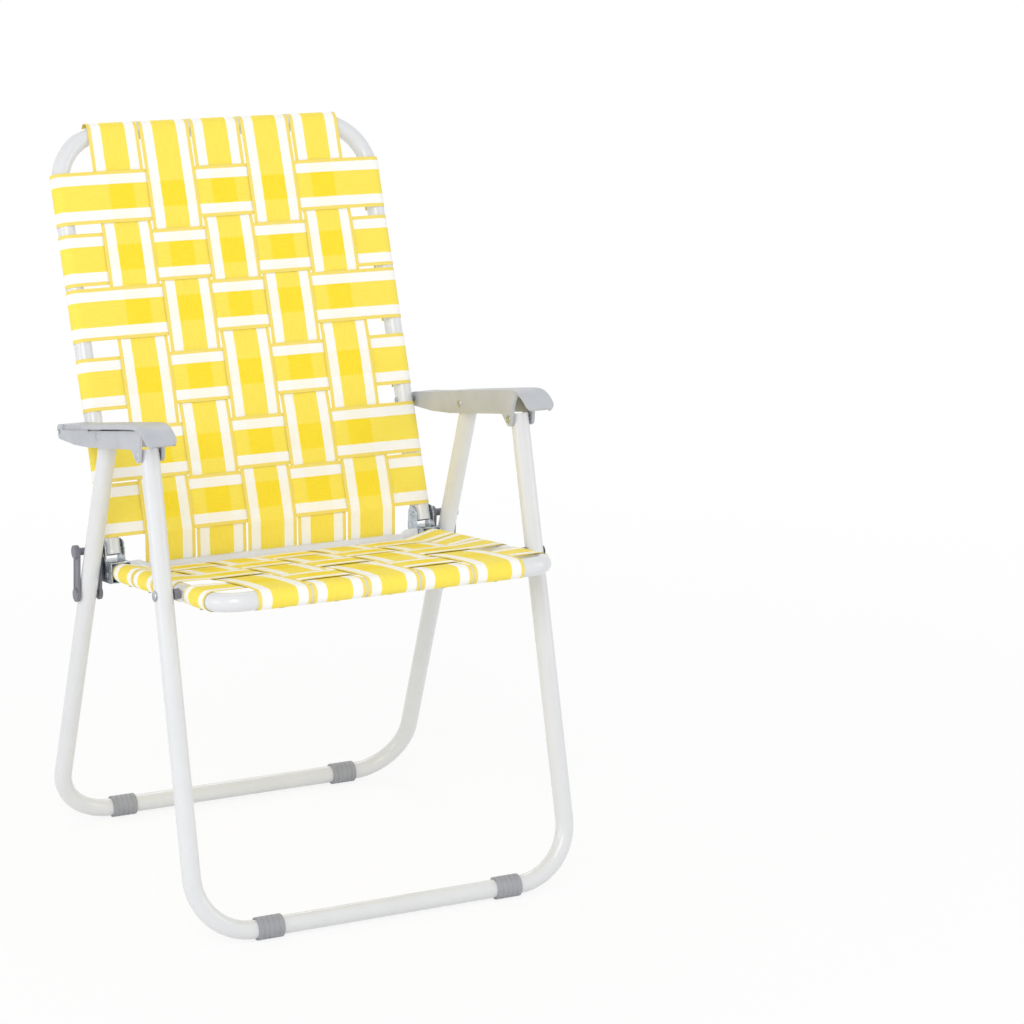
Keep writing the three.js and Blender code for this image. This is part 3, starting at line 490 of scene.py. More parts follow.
def dimpled(face, out, radius, height):
    """A set rivet end: the dome of a ring, then a shallow cup in its middle."""
    turn = np.linspace(0, np.pi, ring_steps)
    rise = [face + out * height * np.sin(t) for t in turn]
    ring = [(x, radius * (1 - dimple_rim + dimple_rim * np.cos(t))) for x, t in zip(rise, turn)]
    floor = face + out * height * dimple_floor
    return ring[:-1] + [(floor, radius * dimple_radius), (floor, 0)]


def headed(name, side, start, face, radius, head, centre):
    """A pin from start to a face, flat at its start and with a domed head of (radius, height)."""
    profile = [(start, 0), (start, radius), (face, radius)] + dome(face, 1, *head)
    return turned(name, side, profile, centre)


# %% Rivets at the pivots
pin_radius = 3 * mm
head = (5 * mm, 1 * mm)
small_head = (4.2 * mm, 1 * mm)
link_head = (5 * mm, 1.3 * mm)
seat_head = (6.5 * mm, 2 * mm)
arm_inner_face = 222.3 * mm
arm_wall = 3.4 * mm
arm_outer_wall = 250.2 * mm
arm_outer_edge = 259 * mm
bracket_sheet = 1.6 * mm
link_plate = 3.4 * mm
link_inner_face = 223.4 * mm
link_outer_face = 251.2 * mm
frame_inner = frame_half_width - tube_radius - clearance
frame_outer = frame_half_width + tube_radius + clearance
leg_at_seat = leg_half_width(
    np.linalg.norm(front_leg_pivot - front_foot), np.linalg.norm(seat_pivot - front_foot),
)
arm_inside, arm_outside = arm_inner_face + arm_wall, arm_outer_wall + arm_wall
bracket_inside = frame_inner - bracket_sheet

for name, side in sides.items():
    arm = f"arm_{name}"
    set_rivets = [
        ("arm_rear_leg", arm, arm_inner_face, arm_outside, rear_leg_pivot, head, head),
        ("arm_front_leg", arm, arm_inner_face, arm_outside, front_leg_pivot, head, head),
        ("arm_back", arm, frame_half_width - tube_radius, arm_inside, arm_pivot, small_head, small_head),
        ("hinge", "back_frame", bracket_inside, link_outer_face + link_plate, hinge, head, link_head),
    ]
    for place, body, inner, outer, centre, inner_head, outer_head in set_rivets:
        profile = dimpled(inner, -1, *inner_head)[::-1] + [(inner, pin_radius), (outer, pin_radius)]
        profile += dome(outer, 1, *outer_head)
        piece = turned(f"set_rivet_{place.removeprefix('arm_')}_{name}", side, profile, centre)
        note(piece, body, f"{place}_rivet_{name}", "zinc")
    piece = headed(
        f"dome_rivet_seat_{name}", side, frame_outer, leg_at_seat + tube_radius + clearance,
        pin_radius, seat_head, seat_pivot,
    )
    note(piece, "front_leg_frame", f"seat_rivet_{name}", "zinc")
print("pieces", len(pieces))

# %% [markdown]
# Plastic spacers sit on the pins: one between the front leg and the seat tube, and one between the
# plates of each link. They are short sleeves with a small chamfer at the mouth. The link pins are the
# same shape without a bore. A rivet holds each bracket and the rear bar to the seat tube.

# %% Spacers, link pins and bracket rivets
sleeve_chamfer = 0.5 * mm
seat_spacer_radius = 6.5 * mm
seat_spacer_bore = 3.4 * mm
link_spacer_radius = 4.6 * mm
link_spacer_bore = 3.5 * mm
link_pin_gap = 0.4 * mm
link_inside = link_inner_face + link_plate
bracket_pin_radius = 2.4 * mm
bracket_pin_depth = 12 * mm


def sleeve(name, side, start, end, radius, bore, centre):
    """A tube's profile closed on itself: out along the outside, back along the bore, chamfered outside.
    With a bore of zero it is a solid pin."""
    edge = sleeve_chamfer
    profile = [
        (start, bore), (start, radius - edge), (start + edge, radius), (end - edge, radius),
        (end, radius - edge), (end, bore),
    ]
    return turned(name, side, profile + profile[:1] * (bore > 0), centre)


for name, side in sides.items():
    sleeves = [
        ("seat_sleeve", "front_leg_frame", "seat_spacer", "dark_plastic", frame_outer,
         leg_at_seat - tube_radius - clearance, seat_spacer_radius, seat_spacer_bore, seat_pivot),
        ("link_sleeve", f"link_{name}", "link_spacer", "dark_plastic", link_inside + clearance,
         link_outer_face - clearance, link_spacer_radius, link_spacer_bore, hinge),
        ("turned_pin", "rear_leg_frame", "link_pin", "zinc", link_inside + link_pin_gap,
         link_outer_face - link_pin_gap, pin_radius, 0, link_pivot),
    ]
    for title, body, node, slot, *shape in sleeves:
        note(sleeve(f"{title}_{name}", side, *shape), body, f"{node}_{name}", slot)
    piece = headed(
        f"bar_rivet_{name}", side, bracket_inside - bracket_pin_depth,
        frame_outer + clearance + bracket_sheet, bracket_pin_radius, small_head, bar_place,
    )
    note(piece, "seat_frame", f"bracket_rivet_{name}", "zinc")
print("pieces", len(pieces))

# %% [markdown]
# Webbing is the chair's face. Where two straps cross, one lies over the other, so a strap's height rises
# and falls along its length. A strap starts as a list of the places where it must pass. That line is
# resampled evenly and smoothed, which rounds the steps the way a stiff flat weave does.

# %% Lines that straps follow
strap_width = 65.4 * mm
strap_thickness = 0.62 * mm
strap_gap = 2.2 * mm
strap_clearance = 0.4 * mm
strap_radius = tube_radius + clearance + strap_clearance
strap_lift = 0.68 * mm
strap_crown = 0.35 * mm
half_width = strap_width / 2
long_centres = (np.arange(5) - 2) * (strap_width + strap_gap)
smoothing_passes = 8


def run_length(points):
    """The length of a line up to each of its points."""
    return np.concatenate([[0], np.cumsum(np.linalg.norm(np.diff(points, axis=0), axis=1))])


def evenly(points, count):
    """The same line through evenly spaced points: each coordinate interpolated over the length so far."""
    length = run_length(points)
    even = np.linspace(0, length[-1], count)
    return np.stack([np.interp(even, length, points[:, i]) for i in range(points.shape[1])], -1)


def smoothed(line, passes, first=1):
    """Moves each point, from a first one on, towards the mean of its neighbours a number of times."""
    for _ in range(passes):
        line[first:-1] = line[first:-1] / 2 + (line[first - 1:-2] + line[first + 1:]) / 4
    return line


def touch_angle(centre, radius, point, turn):
    """The angle in degrees at which a line from a point touches a circle."""
    away = np.array(point) - centre
    return np.degrees(np.arctan2(away[1], away[0]) + turn * np.arccos(radius / np.linalg.norm(away)))


def crossing(middle, height_at, is_over):
    """Three places of a strap where it lies over or under another, with a slight crown in the middle."""
    lift = strap_lift if is_over else -strap_lift
    places = middle + np.array([-half_width, 0, half_width])
    crown = np.array([0, strap_crown, 0]) * np.sign(lift)
    return list(zip(places, height_at(places) + lift + crown))


# %% [markdown]
# The back and the seat are woven alike, so one small class holds what differs: where the mat starts, its
# two directions, where its cross straps lie and how high. The seat's mat rises from its first cross
# strap to the top of the front tube, and the back's keeps its height.

# %% The two mats
mat_rise = 0.55 * mm
mat_height = strap_radius + mat_rise
seat_rear_height = 1 * mm
mat_curve = 1.6


class Mat:
    """The woven mat of the back or the seat, in its own distances along and heights above its plane."""

    def __init__(self, name, origin, along, up, length, rear_height, strap_count, first):
        self.name, self.origin, self.along, self.up = name, origin, along, up
        self.length, self.rear_height, self.first = length, rear_height, first
        self.nodes = [f"{name}_cross_strap_{n + 1}" for n in range(strap_count)]
        self.centres = np.array([self.middle(node) for node in self.nodes])

    def point(self, along, height):
        """Points of the side view from distances along the mat and heights above it."""
        return self.origin + np.multiply.outer(along, self.along) + np.multiply.outer(height, self.up)

    def measures(self, points):
        """The distance along and the height of points of the side view."""
        return (points - self.origin) @ self.along, (points - self.origin) @ self.up

    def middle(self, node):
        """The middle of a strap's node along the mat, from the points of its mesh."""
        mesh = frame["nodes"][node].data
        points = np.zeros(len(mesh.vertices) * 3)
        mesh.vertices.foreach_get("co", points)
        along = self.measures(points.reshape(-1, 3)[:, 1:])[0]
        return (along.min() + along.max()) / 2

    def height_at(self, along):
        """The webbing's height: a power of the share that is left of the way to the front or the top."""
        start = self.centres[0] - half_width
        share = np.clip(1 - (along - start) / (self.length - start), 0, 1)
        return mat_height - (mat_height - self.rear_height) * share ** mat_curve

    def cross_is_over(self, cross, long):
        """True where a cross strap lies over a long strap."""
        return (cross + long + self.first) % 2 == 0

    def long_places(self, long):
        """The places of a long strap at every cross strap."""
        places = [
            crossing(centre, self.height_at, not self.cross_is_over(cross, long))
            for cross, centre in enumerate(self.centres)
        ]
        return [place for three in places for place in three]


back = Mat("back", hinge, back_up, back_out, back_length, mat_height, 6, 1)
seat = Mat("seat", seat_origin, seat_forward, seat_up, seat_length, seat_rear_height, 4, 0)
for mat in (back, seat):
    print(mat.name, "cross straps at", np.round(mat.centres / mm, 1).tolist(), "mm")

# %% [markdown]
# A strap's surface has two parameters, along the line and across the width. The sheet is that surface
# moved out by half its thickness on both sides. Each point also gets its distances across and along,
# which the weave follows, and how much yellow lies under it, because the yarn lets that show through.

# %% Strap surface
across_count = 21
across = np.linspace(-1, 1, across_count) * half_width
edge_share = 0.07
edge_thinning = 0.66
strap_edge_angle = 60
yellow_half = 16 * mm
yellow_soft = 0.8 * mm


def strap(name, centre_lines, edge_way, underlay):
    """A strap from its centre surface, shaped along by across by 3. The normal is the cross product of
    the two directions, and the edges thin to a third. Underlay is the yellow below, along by across."""
    normal = np.cross(np.gradient(centre_lines, axis=0), edge_way)
    normal /= np.linalg.norm(normal, axis=-1)[..., None]
    to_edge = np.clip((np.abs(across) / half_width - (1 - edge_share)) / edge_share, 0, 1)
    offset = normal * (strap_thickness / 2 * (1 - edge_thinning * to_edge ** 2))[None, :, None]
    ring = np.concatenate([centre_lines + offset, (centre_lines - offset)[:, ::-1]], 1)
    rows, columns = ring.shape[:2]
    mesh = bpy.data.meshes.new(name)
    mesh.from_pydata(ring.reshape(-1, 3), [], grid_faces(rows, columns, caps=True))
    length = run_length(centre_lines[:, across_count // 2])
    both = np.concatenate([across, across[::-1]])
    pattern = np.stack([np.tile(both, (rows, 1)), np.repeat(length[:, None], columns, 1)], -1)
    corner = np.zeros(len(mesh.loops), int)
    mesh.loops.foreach_get("vertex_index", corner)
    mesh.uv_layers.new(name="weave").data.foreach_set("uv", pattern.reshape(-1, 2)[corner].ravel())
    layer = mesh.attributes.new("underlay", "FLOAT", "POINT")
    layer.data.foreach_set("value", np.concatenate([underlay, underlay[:, ::-1]], 1).ravel())
    return placed(name, tidied(mesh, strap_edge_angle, merge=False)), length[-1]


def yellow_near(place, centres):
    """How much of the straps at some centres is yellow at a place: 1 in a middle band, 0 outside."""
    low, high = yellow_half - yellow_soft, yellow_half + yellow_soft
    return sum(1 - smooth_step(np.abs(place - centre), low, high) for centre in centres)


# %% [markdown]
# A cross strap is tucked under one side tube, wraps round it, crosses the long straps and wraps the
# other side. On the seat the webbing sinks towards the rear, so each of the lines across the strap
# leaves the tubes at its own angle.

# %% Cross straps
cross_count = 420
strap_tail = 9 * mm


def cross_line(mat, cross, height):
    """The line of a cross strap in x and height, from one tucked tail to the other."""
    middle = [
        point for long, centre in enumerate(long_centres)
        for point in crossing(centre, lambda x: height, mat.cross_is_over(cross, long))
    ]
    right = np.array([frame_half_width, 0])
    angle = touch_angle(right, strap_radius, middle[-1], -1) % 360
    points = np.concatenate([
        [(-frame_half_width + strap_tail, -strap_radius)],
        arc(-right, strap_radius, 270, 180 - angle),
        middle,
        arc(right, strap_radius, angle, -90),
        [(frame_half_width - strap_tail, -strap_radius)],
    ])
    return smoothed(evenly(points, cross_count), smoothing_passes)


def cross_strap(mat, cross):
    """Cross lines for places across the strap's width, set side by side along the mat."""
    places = mat.centres[cross] + across
    lines = np.stack([cross_line(mat, cross, mat.height_at(place)) for place in places], 1)
    x, height = lines[..., 0], lines[..., 1]
    surface = at(x, mat.point(places, height))
    underlay = yellow_near(x, long_centres) * (height > 0) * (np.abs(x) < frame_half_width)
    return strap(f"woven_{mat.name}_strap_{cross + 1}", surface, np.array([0, *mat.along]), underlay)


straps = []
for mat in (back, seat):
    for cross, node in enumerate(mat.nodes):
        straps.append((*cross_strap(mat, cross), mat, [node]))
print("cross straps", len(straps), "lengths in mm", [round(length / mm) for _, length, _, _ in straps])

# %% [markdown]
# A long strap is one piece from the back's top tube to the seat's front tube. It runs down the back,
# passes behind the seat's rear bar, turns under it and goes forward. It bends there when the chair
# folds; here it is only set in place at the end and rides on no body.

# %% Long straps
long_count = 760
long_tail = 8 * mm
seat_from = 10 * mm
bar_wrap_steps = 18
chair_across = np.array([1.0, 0, 0])


def long_line(long):
    """The side view line of a long strap: over the back's top tube, down the back, round the seat's rear
    bar and along the seat to its front tube."""
    down = [(back_length - long_tail, -strap_radius), *arc((back_length, 0), strap_radius, -90, 90)]
    down = back.point(*np.array(down + back.long_places(long)[::-1]).T)
    radius = bar_radius + clearance + strap_clearance
    from_angle = touch_angle((0, 0), radius, ((down[-1] - bar_place) @ [seat_forward, seat_up]), 1)
    bar = np.array([bar_forward, -bar_drop])
    forward = seat.long_places(long)
    to_angle = touch_angle(bar, radius, forward[0], -1)
    to_angle += 360 * (to_angle < from_angle)
    forward = [*arc(bar, radius, from_angle, to_angle, bar_wrap_steps), *forward]
    forward += [*arc((seat_length, 0), strap_radius, 90, -90), (seat_length - long_tail, -strap_radius)]
    return np.concatenate([down, seat.point(*np.array(forward).T)])


def long_strap(long, centre):
    """The line repeated across the width, with the yellow of the back's or the seat's cross straps."""
    line = smoothed(evenly(long_line(long), long_count), smoothing_passes)
    surface = at(centre + across, np.repeat(line[:, None], across_count, 1))
    up, out = back.measures(line)
    forward, above = seat.measures(line)
    on_back = (up > seat_from) & (out > 0)
    on_seat = (up <= seat_from) & (above > -bar_drop - bar_radius)
    yellow = on_back * yellow_near(up, back.centres) + on_seat * yellow_near(forward, seat.centres)
    underlay = np.repeat(yellow[:, None], across_count, 1)
    return strap(f"long_strap_{long + 1}", surface, chair_across, underlay)


for long, centre in enumerate(long_centres):
    nodes = [f"{mat.name}_long_strap_{long + 1}" for mat in (back, seat)]
    straps.append((*long_strap(long, centre), None, nodes))
print("straps", len(straps), "long strap in mm", round(straps[-1][1] / mm))

# %% [markdown]
# Behind the tubes every strap end is held by a small screw with a washer. They can't be seen from the
# front, but they are what keeps such a chair's webbing tight.

# %% Strap screws
screw_radius = 2.8 * mm
screw_height = 0.6 * mm
washer_radius = 4.2 * mm
washer_height = 0.3 * mm
screw_sides = 20
off_axis = [0.3, 1.0, 0.2]
screw_seat = strap_radius + strap_thickness / 2


def screw(centre, axis):
    """A washer and a pan head spun about an axis: rings of the profile's radii at its heights, with the
    two directions across the axis as the plane of each ring."""
    turn = np.linspace(0, np.pi / 2, quarter_steps)
    pan = np.stack([screw_radius * np.cos(turn), washer_height + screw_height * np.sin(turn)], -1)
    base = [(0, 0), (washer_radius, 0), (washer_radius, washer_height), (screw_radius, washer_height)]
    radii, heights = np.concatenate([base, pan]).T[:, :, None, None]
    first = unit(np.cross(axis, off_axis))
    ring = circle(screw_sides) @ [first, np.cross(axis, first)]
    return grid_mesh("screw", centre + heights * axis + radii * ring)


def strap_screws(mat):
    """Two screws for each cross strap, under the side tubes, and one for each long strap at its end."""
    places = [(side * frame_half_width, along) for along in mat.centres for side in (1, -1)]
    places += [(x, mat.length - long_tail / 2) for x in long_centres]
    axis = -np.array([0, *mat.up])
    screws = [screw(at(x, mat.point(along, -screw_seat)), axis) for x, along in places]
    return note(joined(f"{mat.name}_strap_screws", screws), f"{mat.name}_frame", None, "zinc")


print("screws", faces_of(strap_screws(back), strap_screws(seat)), "faces")

# %% [markdown]
# An armrest is one plastic moulding, a channel open below: an inner wall, a cover, an outer wall and a
# lip that hangs outside it. In front it goes over into a paddle that curves down. The section has
# twelve corners all along, whose heights are functions of the place along the arm.

# %% Armrest profile
arm_length = np.linalg.norm(front_leg_pivot - arm_pivot)
arm_forward = unit(front_leg_pivot - arm_pivot)
arm_up = np.array([arm_forward[1], -arm_forward[0]])
arm_end_radius = 9 * mm
arm_cover = 3.2 * mm
arm_lip_height = 5.6 * mm
arm_lip_thickness = 3 * mm
arm_lobe_radius = 9 * mm
arm_lip_start = 94 * mm
arm_slit_start = 102 * mm
arm_slit_end = 264 * mm
arm_slit_height = 2.2 * mm
arm_slit_drop = 0.1 * mm
arm_access_radius = 3.5 * mm
arm_recess_start = 7 * mm
arm_recess_height = 7 * mm
arm_recess_depth = 3 * mm
arm_edge_round = 0.9 * mm
arm_least_height = 0.3 * mm
paddle_corner = 7 * mm
paddle_draw = 0.8
arm_stations = 150
arm_end_steps = 12
arm_lobe_from = -40
arm_smoothing_passes = 14
drawn_arm_length = 268.1 * mm
arm_top_places = np.array([
    (52, 13.5), (105, 19.3), (160, 25.0), (215, 30.6), (256, 34.6), (270, 36.0), (283, 36.4),
    (294, 35.2), (303, 32.0), (311, 27.0), (317.5, 21.2), (322, 16.3),
]) * mm
arm_foot_places = np.array([(52, -10.6), (105, -8.4), (175, -2), (250, 4.8)]) * mm
arch_places = np.array([(9, 0), (9.4, 6), (12, 16.5), (20, 28.4), (30, 40)]) * mm
paddle_from = 5


def arm_top():
    """The top line as (forward, height): a quarter circle behind the back pivot, a slow rise to the
    front pivot, and the paddle's curve down, smoothed through its few chosen places."""
    shape = arm_top_places.copy()
    shape[paddle_from:, 0] += arm_length - drawn_arm_length
    rear = arc((0, 0), arm_end_radius, 180, 90, arm_end_steps)
    line = evenly(np.concatenate([rear, shape]), arm_stations)
    return smoothed(line, arm_smoothing_passes, arm_end_steps + 2)


def wall_foot(forward):
    """The lower edge of the walls: round at the rear, nearly straight along the arm, round the front
    pivot, and up the arch that meets the paddle."""
    bend = np.radians(np.linspace(arm_lobe_from, -180, arm_end_steps))
    lobe = np.stack([arm_length - arm_lobe_radius * np.cos(bend), arm_lobe_radius * np.sin(bend)], -1)
    rear = arc((0, 0), arm_end_radius, 180, 270, arm_end_steps)
    arch = arch_places + [arm_length, 0]
    places = np.concatenate([rear, arm_foot_places, lobe[:-1], arch])
    return np.interp(forward, places[:, 0], places[:, 1])


def arm_ring(line, x):
    """A line of forward and height along the arm, put at a place in x, or at one for each point."""
    return at(x, arm_pivot + np.outer(line[:, 0], arm_forward) + np.outer(line[:, 1], arm_up))


# %% Armrests
def armrest(name, side):
    """Rings of twelve corners along the arm. Inset draws the section's sides in at the paddle's tip, and
    behind the lip's start the lip's corners fall together on the outer wall. A slit under the lip, a
    recess behind it and the pivots' holes are cut last."""
    top = arm_top()
    tangent = np.gradient(top, axis=0)
    tangent /= np.linalg.norm(tangent, axis=1)[:, None]
    normal = np.stack([tangent[:, 1], -tangent[:, 0]], -1)

    def below(depth):
        """The line at a depth under the top line, kept in front of the rear end and above the middle."""
        line = top + depth * normal
        line[:, 0] = np.maximum(line[:, 0], depth - arm_end_radius)
        line[:, 1] = np.where(top[:, 0] < 0, np.maximum(line[:, 1], arm_least_height), line[:, 1])
        return line

    def groove(start, end, high, low, depth):
        """A block along the arm between two depths under the top, reaching into the outer wall."""
        inside = (top[:, 0] > start) & (top[:, 0] < end)
        cut_from, cut_to = arm_outside - depth, arm_outer_edge + mm
        corners = ((cut_from, high), (cut_from, low), (cut_to, low), (cut_to, high))
        rings = [arm_ring((top + down * normal)[inside], side * x) for x, down in corners]
        return grid_mesh("groove", np.stack(rings, 1), caps=True)

    under = below(arm_cover)
    has_lip = top[:, 0] > arm_lip_start
    lip = np.where(has_lip[:, None], below(arm_lip_height), under)
    foot = np.stack([under[:, 0], np.minimum(wall_foot(under[:, 0]), under[:, 1])], -1)
    to_tip = np.clip(1 - (top[-1, 0] - top[:, 0]) / paddle_corner, 0, 1)
    inset = paddle_corner * (1 - np.sqrt(1 - to_tip ** 2)) * paddle_draw
    edge = np.where(has_lip, arm_outer_edge, arm_outside)
    lip_inside = np.where(has_lip, arm_outer_edge - arm_lip_thickness, arm_outside)
    corners = [
        (arm_inner_face, foot, 1), (arm_inner_face, top, 1), (edge, top, -1), (edge, lip, -1),
        (lip_inside, lip, -1), (lip_inside, under, -1), (arm_outside, under, 0), (arm_outside, foot, 0),
        (arm_outer_wall, foot, 0), (arm_outer_wall, under, 0), (arm_inside, under, 0), (arm_inside, foot, 0),
    ]
    rings = [arm_ring(line, side * (x + draw * inset)) for x, line, draw in corners]
    piece = soften(grid_mesh(name, np.stack(rings, 1), caps=True), arm_edge_round, segments=3, angle=45)

    slit_top = arm_lip_height + arm_slit_drop
    before_wall, past_wall = side * (arm_inner_face - mm), side * (arm_outside + mm)
    return cut(piece, [
        groove(arm_slit_start, arm_slit_end, slit_top, slit_top + arm_slit_height, arm_wall + mm),
        groove(arm_recess_start, arm_lip_start, -mm, arm_recess_height, arm_recess_depth),
        rod(before_wall, past_wall, rear_leg_pivot, hole_radius),
        rod(before_wall, past_wall, front_leg_pivot, hole_radius),
        rod(before_wall, side * (arm_inside + mm), arm_pivot, hole_radius),
        rod(side * (arm_outer_wall - mm), past_wall, arm_pivot, arm_access_radius),
    ])


for name, side in sides.items():
    piece = note(armrest(f"moulded_armrest_{name}", side), f"arm_{name}", f"armrest_{name}", "grey_plastic")
    print("armrest", faces_of(piece), "faces")

# %% [markdown]
# The links are plastic plates on both sides of the rear leg, long with round ends. They have a raised
# rim, a barrel of a hub that caps the hinge and a lower boss at the pin. The outline is a circle moved
# to either end of the plate, and rings drawn in from it make rim and floor.

# %% Link plates
link_half_width = 8.5 * mm
link_rim = 1.8 * mm
link_rim_slope = 0.3 * mm
link_floor_drop = 0.9 * mm
link_boss_height = 1.4 * mm
link_hub_height = 3.2 * mm
link_inner_hub_height = 1.2 * mm
link_edge_round = 0.5 * mm
link_hub_round = 1.1 * mm
link_hub_inset = 0.05 * mm
link_outline_sides = 64
link_length = np.linalg.norm(hinge - link_pivot)
link_up = unit(hinge - link_pivot)
link_side = np.array([link_up[1], -link_up[0]])


def link_hub(side, base, step, height, centre):
    """A round boss from the middle of the plate to a height above its face, with a quarter circle edge."""
    start = base - step * link_plate / 2
    shoulder = base + step * (height - link_hub_round)
    radius = link_half_width - link_hub_inset
    edge = [
        (shoulder + step * link_hub_round * np.sin(t), radius - link_hub_round * (1 - np.cos(t)))
        for t in np.linspace(0, np.pi / 2, quarter_steps)
    ]
    profile = [(start, 0), (start, radius), *edge, (shoulder + step * link_hub_round, 0)]
    return turned("hub", side, profile, centre)


def link_plate_piece(name, face, outward, hub_height):
    """Rings of the long round-ended outline: each is the outline drawn in by an inset, at a place
    through the thickness. The first and last ring close on the plate's middle line."""
    around = circle(link_outline_sides)
    at_pin = around[:, 1:] < 0
    far = face + outward * link_plate
    edge = link_edge_round
    floor = far - outward * link_floor_drop
    rings = [
        (link_half_width, face), (edge, face), (0, face + outward * edge), (0, far - outward * edge),
        (edge, far), (link_rim - edge, far), (link_rim + link_rim_slope, floor), (link_half_width, floor),
    ]
    grid = []
    for inset, x in rings:
        places = hinge + (link_half_width - inset) * (around @ [link_side, link_up])
        grid.append(at(x, np.where(at_pin, places - link_length * link_up, places)))
    side = np.sign(face)
    step = side * np.sign(outward)
    hubs = [
        link_hub(side, abs(far), step, height, centre)
        for centre, height in ((hinge, hub_height), (link_pivot, link_boss_height))
    ]
    return joined(name, [grid_mesh("plate", np.array(grid)), *hubs])


for name, side in sides.items():
    plates = [
        ("inner", side * link_inside, -side, link_inner_hub_height),
        ("outer", side * link_outer_face, side, link_hub_height),
    ]
    for which, face, outward, hub_height in plates:
        piece = link_plate_piece(f"ribbed_link_{which}_{name}", face, outward, hub_height)
        note(piece, f"link_{name}", f"link_{which}_plate_{name}", "dark_plastic")
        print("link plate", faces_of(piece), "faces")

# %% [markdown]
# Each hinge bracket is folded from one zinc plated sheet. Its box grips the rear end of the seat tube,
# and two round ears stand up beside the lower end of the back tube. A block with the side outline is
# hollowed twice, once for each tube.

# %% Hinge brackets
bracket_lobe_radius = 11.5 * mm
bracket_front_reach = 30 * mm
bracket_rear_reach = 15 * mm
bracket_corner = 5 * mm
bracket_edge_round = 0.35 * mm
corner_steps, lobe_steps = 8, 24
cut_overrun = 4 * mm


def bracket(name, side):
    """The side outline is a box with three rounded corners and a lobe round the hinge on top, drawn out
    in x. Two pockets and the rivets' holes are cut from it, and its edges are rounded."""
    inner, outer = frame_inner - bracket_sheet, frame_outer + bracket_sheet
    half = tube_radius + clearance + bracket_sheet
    lobe = seat.measures(hinge)
    front, rear, corner = bracket_front_reach, -bracket_rear_reach, bracket_corner
    outline = np.concatenate([
        arc((front - corner, -half + corner), corner, 0, -90, corner_steps),
        arc((rear + corner, -half + corner), corner, -90, -180, corner_steps),
        [(rear, half)],
        arc(lobe, bracket_lobe_radius, 180, 0, lobe_steps),
        [(lobe[0] + bracket_lobe_radius, half)],
        arc((front - corner, half - corner), corner, 90, 0, corner_steps),
    ])
    reach = front - rear + cut_overrun

    def slab(outline, x_from, x_to):
        """An outline of forward and height, drawn out between two places in x."""
        return drawn_out(name, seat.point(*np.array(outline).T), side * x_from, side * x_to)

    def pocket(low, high):
        """A box between the two ears, from one height to another."""
        corners = [(-reach, low), (reach, low), (reach, high), (-reach, high)]
        return slab(corners, inner + bracket_sheet, outer - bracket_sheet)

    block = slab(outline, inner, outer)
    top = lobe[1] + bracket_lobe_radius + cut_overrun
    low, high = side * (inner - cut_overrun), side * (outer + cut_overrun)
    cut(block, [
        pocket(-half + bracket_sheet, half - bracket_sheet), pocket(half, top),
        rod(low, high, hinge, hole_radius), rod(low, high, bar_place, hole_radius),
    ])
    return soften(block, bracket_edge_round, segments=2, angle=50)


for name, side in sides.items():
    piece = note(bracket(f"folded_bracket_{name}", side), "seat_frame", f"hinge_bracket_{name}", "zinc")
    print("bracket", faces_of(piece), "faces")

# %% [markdown]
# The feet are ribbed plastic clips sprung round the floor bars, split at the rear. The ribs come from
# the radius, which dips in narrow smooth grooves, and the floor cuts each rib flat.

# %% Foot clips
clip_half_width = 16 * mm
clip_inset = 88 * mm
clip_radius = 13.6 * mm
clip_rib_depth = 0.7 * mm
clip_rib_count = 5
clip_groove_half = 0.85 * mm
clip_rim_length = 0.7 * mm
clip_rim_drop = 0.5 * mm
clip_slot_half_angle = 30
clip_bore = tube_radius + clearance
clip_stations, clip_around = 81, 56


def foot_clip(name, x_middle, foot):
    """Rings along x. The outer radius is the ribs' less the depth of a groove, which is a narrow bell
    round each boundary between ribs. The floor limits how low a point lies."""
    x = np.linspace(-clip_half_width, clip_half_width, clip_stations)
    pitch = 2 * clip_half_width / clip_rib_count
    in_ribs = x / pitch + 0.5 * (clip_rib_count % 2)
    to_groove = np.abs(in_ribs - np.round(in_ribs)) * pitch
    inside = np.abs(x) < clip_half_width - pitch / 2
    groove = clip_rib_depth * np.exp(-(to_groove / clip_groove_half) ** 4) * inside
    rim = np.clip((np.abs(x) - (clip_half_width - clip_rim_length)) / clip_rim_length, 0, 1)
    radius = clip_radius - groove - clip_rim_drop * rim ** 2
    out = arc((0, 0), 1, clip_slot_half_angle, 360 - clip_slot_half_angle, clip_around)
    skin = radius[:, None, None] * out
    skin[..., 1] = np.maximum(skin[..., 1], -foot[1])
    bore = np.repeat(clip_bore * out[None, ::-1], len(x), 0)
    return grid_mesh(name, at(x[:, None] + x_middle, foot + np.concatenate([skin, bore], 1)), caps=True)


for end, foot in (("front", front_foot), ("rear", rear_foot)):
    for name, side in sides.items():
        piece = foot_clip(f"ribbed_clip_{end}_{name}", side * (foot_half_width - clip_inset), foot)
        note(piece, f"{end}_leg_frame", f"{end}_foot_clip_{name}", "grey_plastic", "clip_plastic")
        print("foot clip", faces_of(piece), "faces")

# %% [markdown]
# Materials are networks of nodes. Two small classes keep them readable: one wraps a socket so that sums
# of sockets can be written as sums, and the other makes a node from its type, its settings and what
# goes into its sockets.

# %% Shader maths
noise_roughness = 0.55


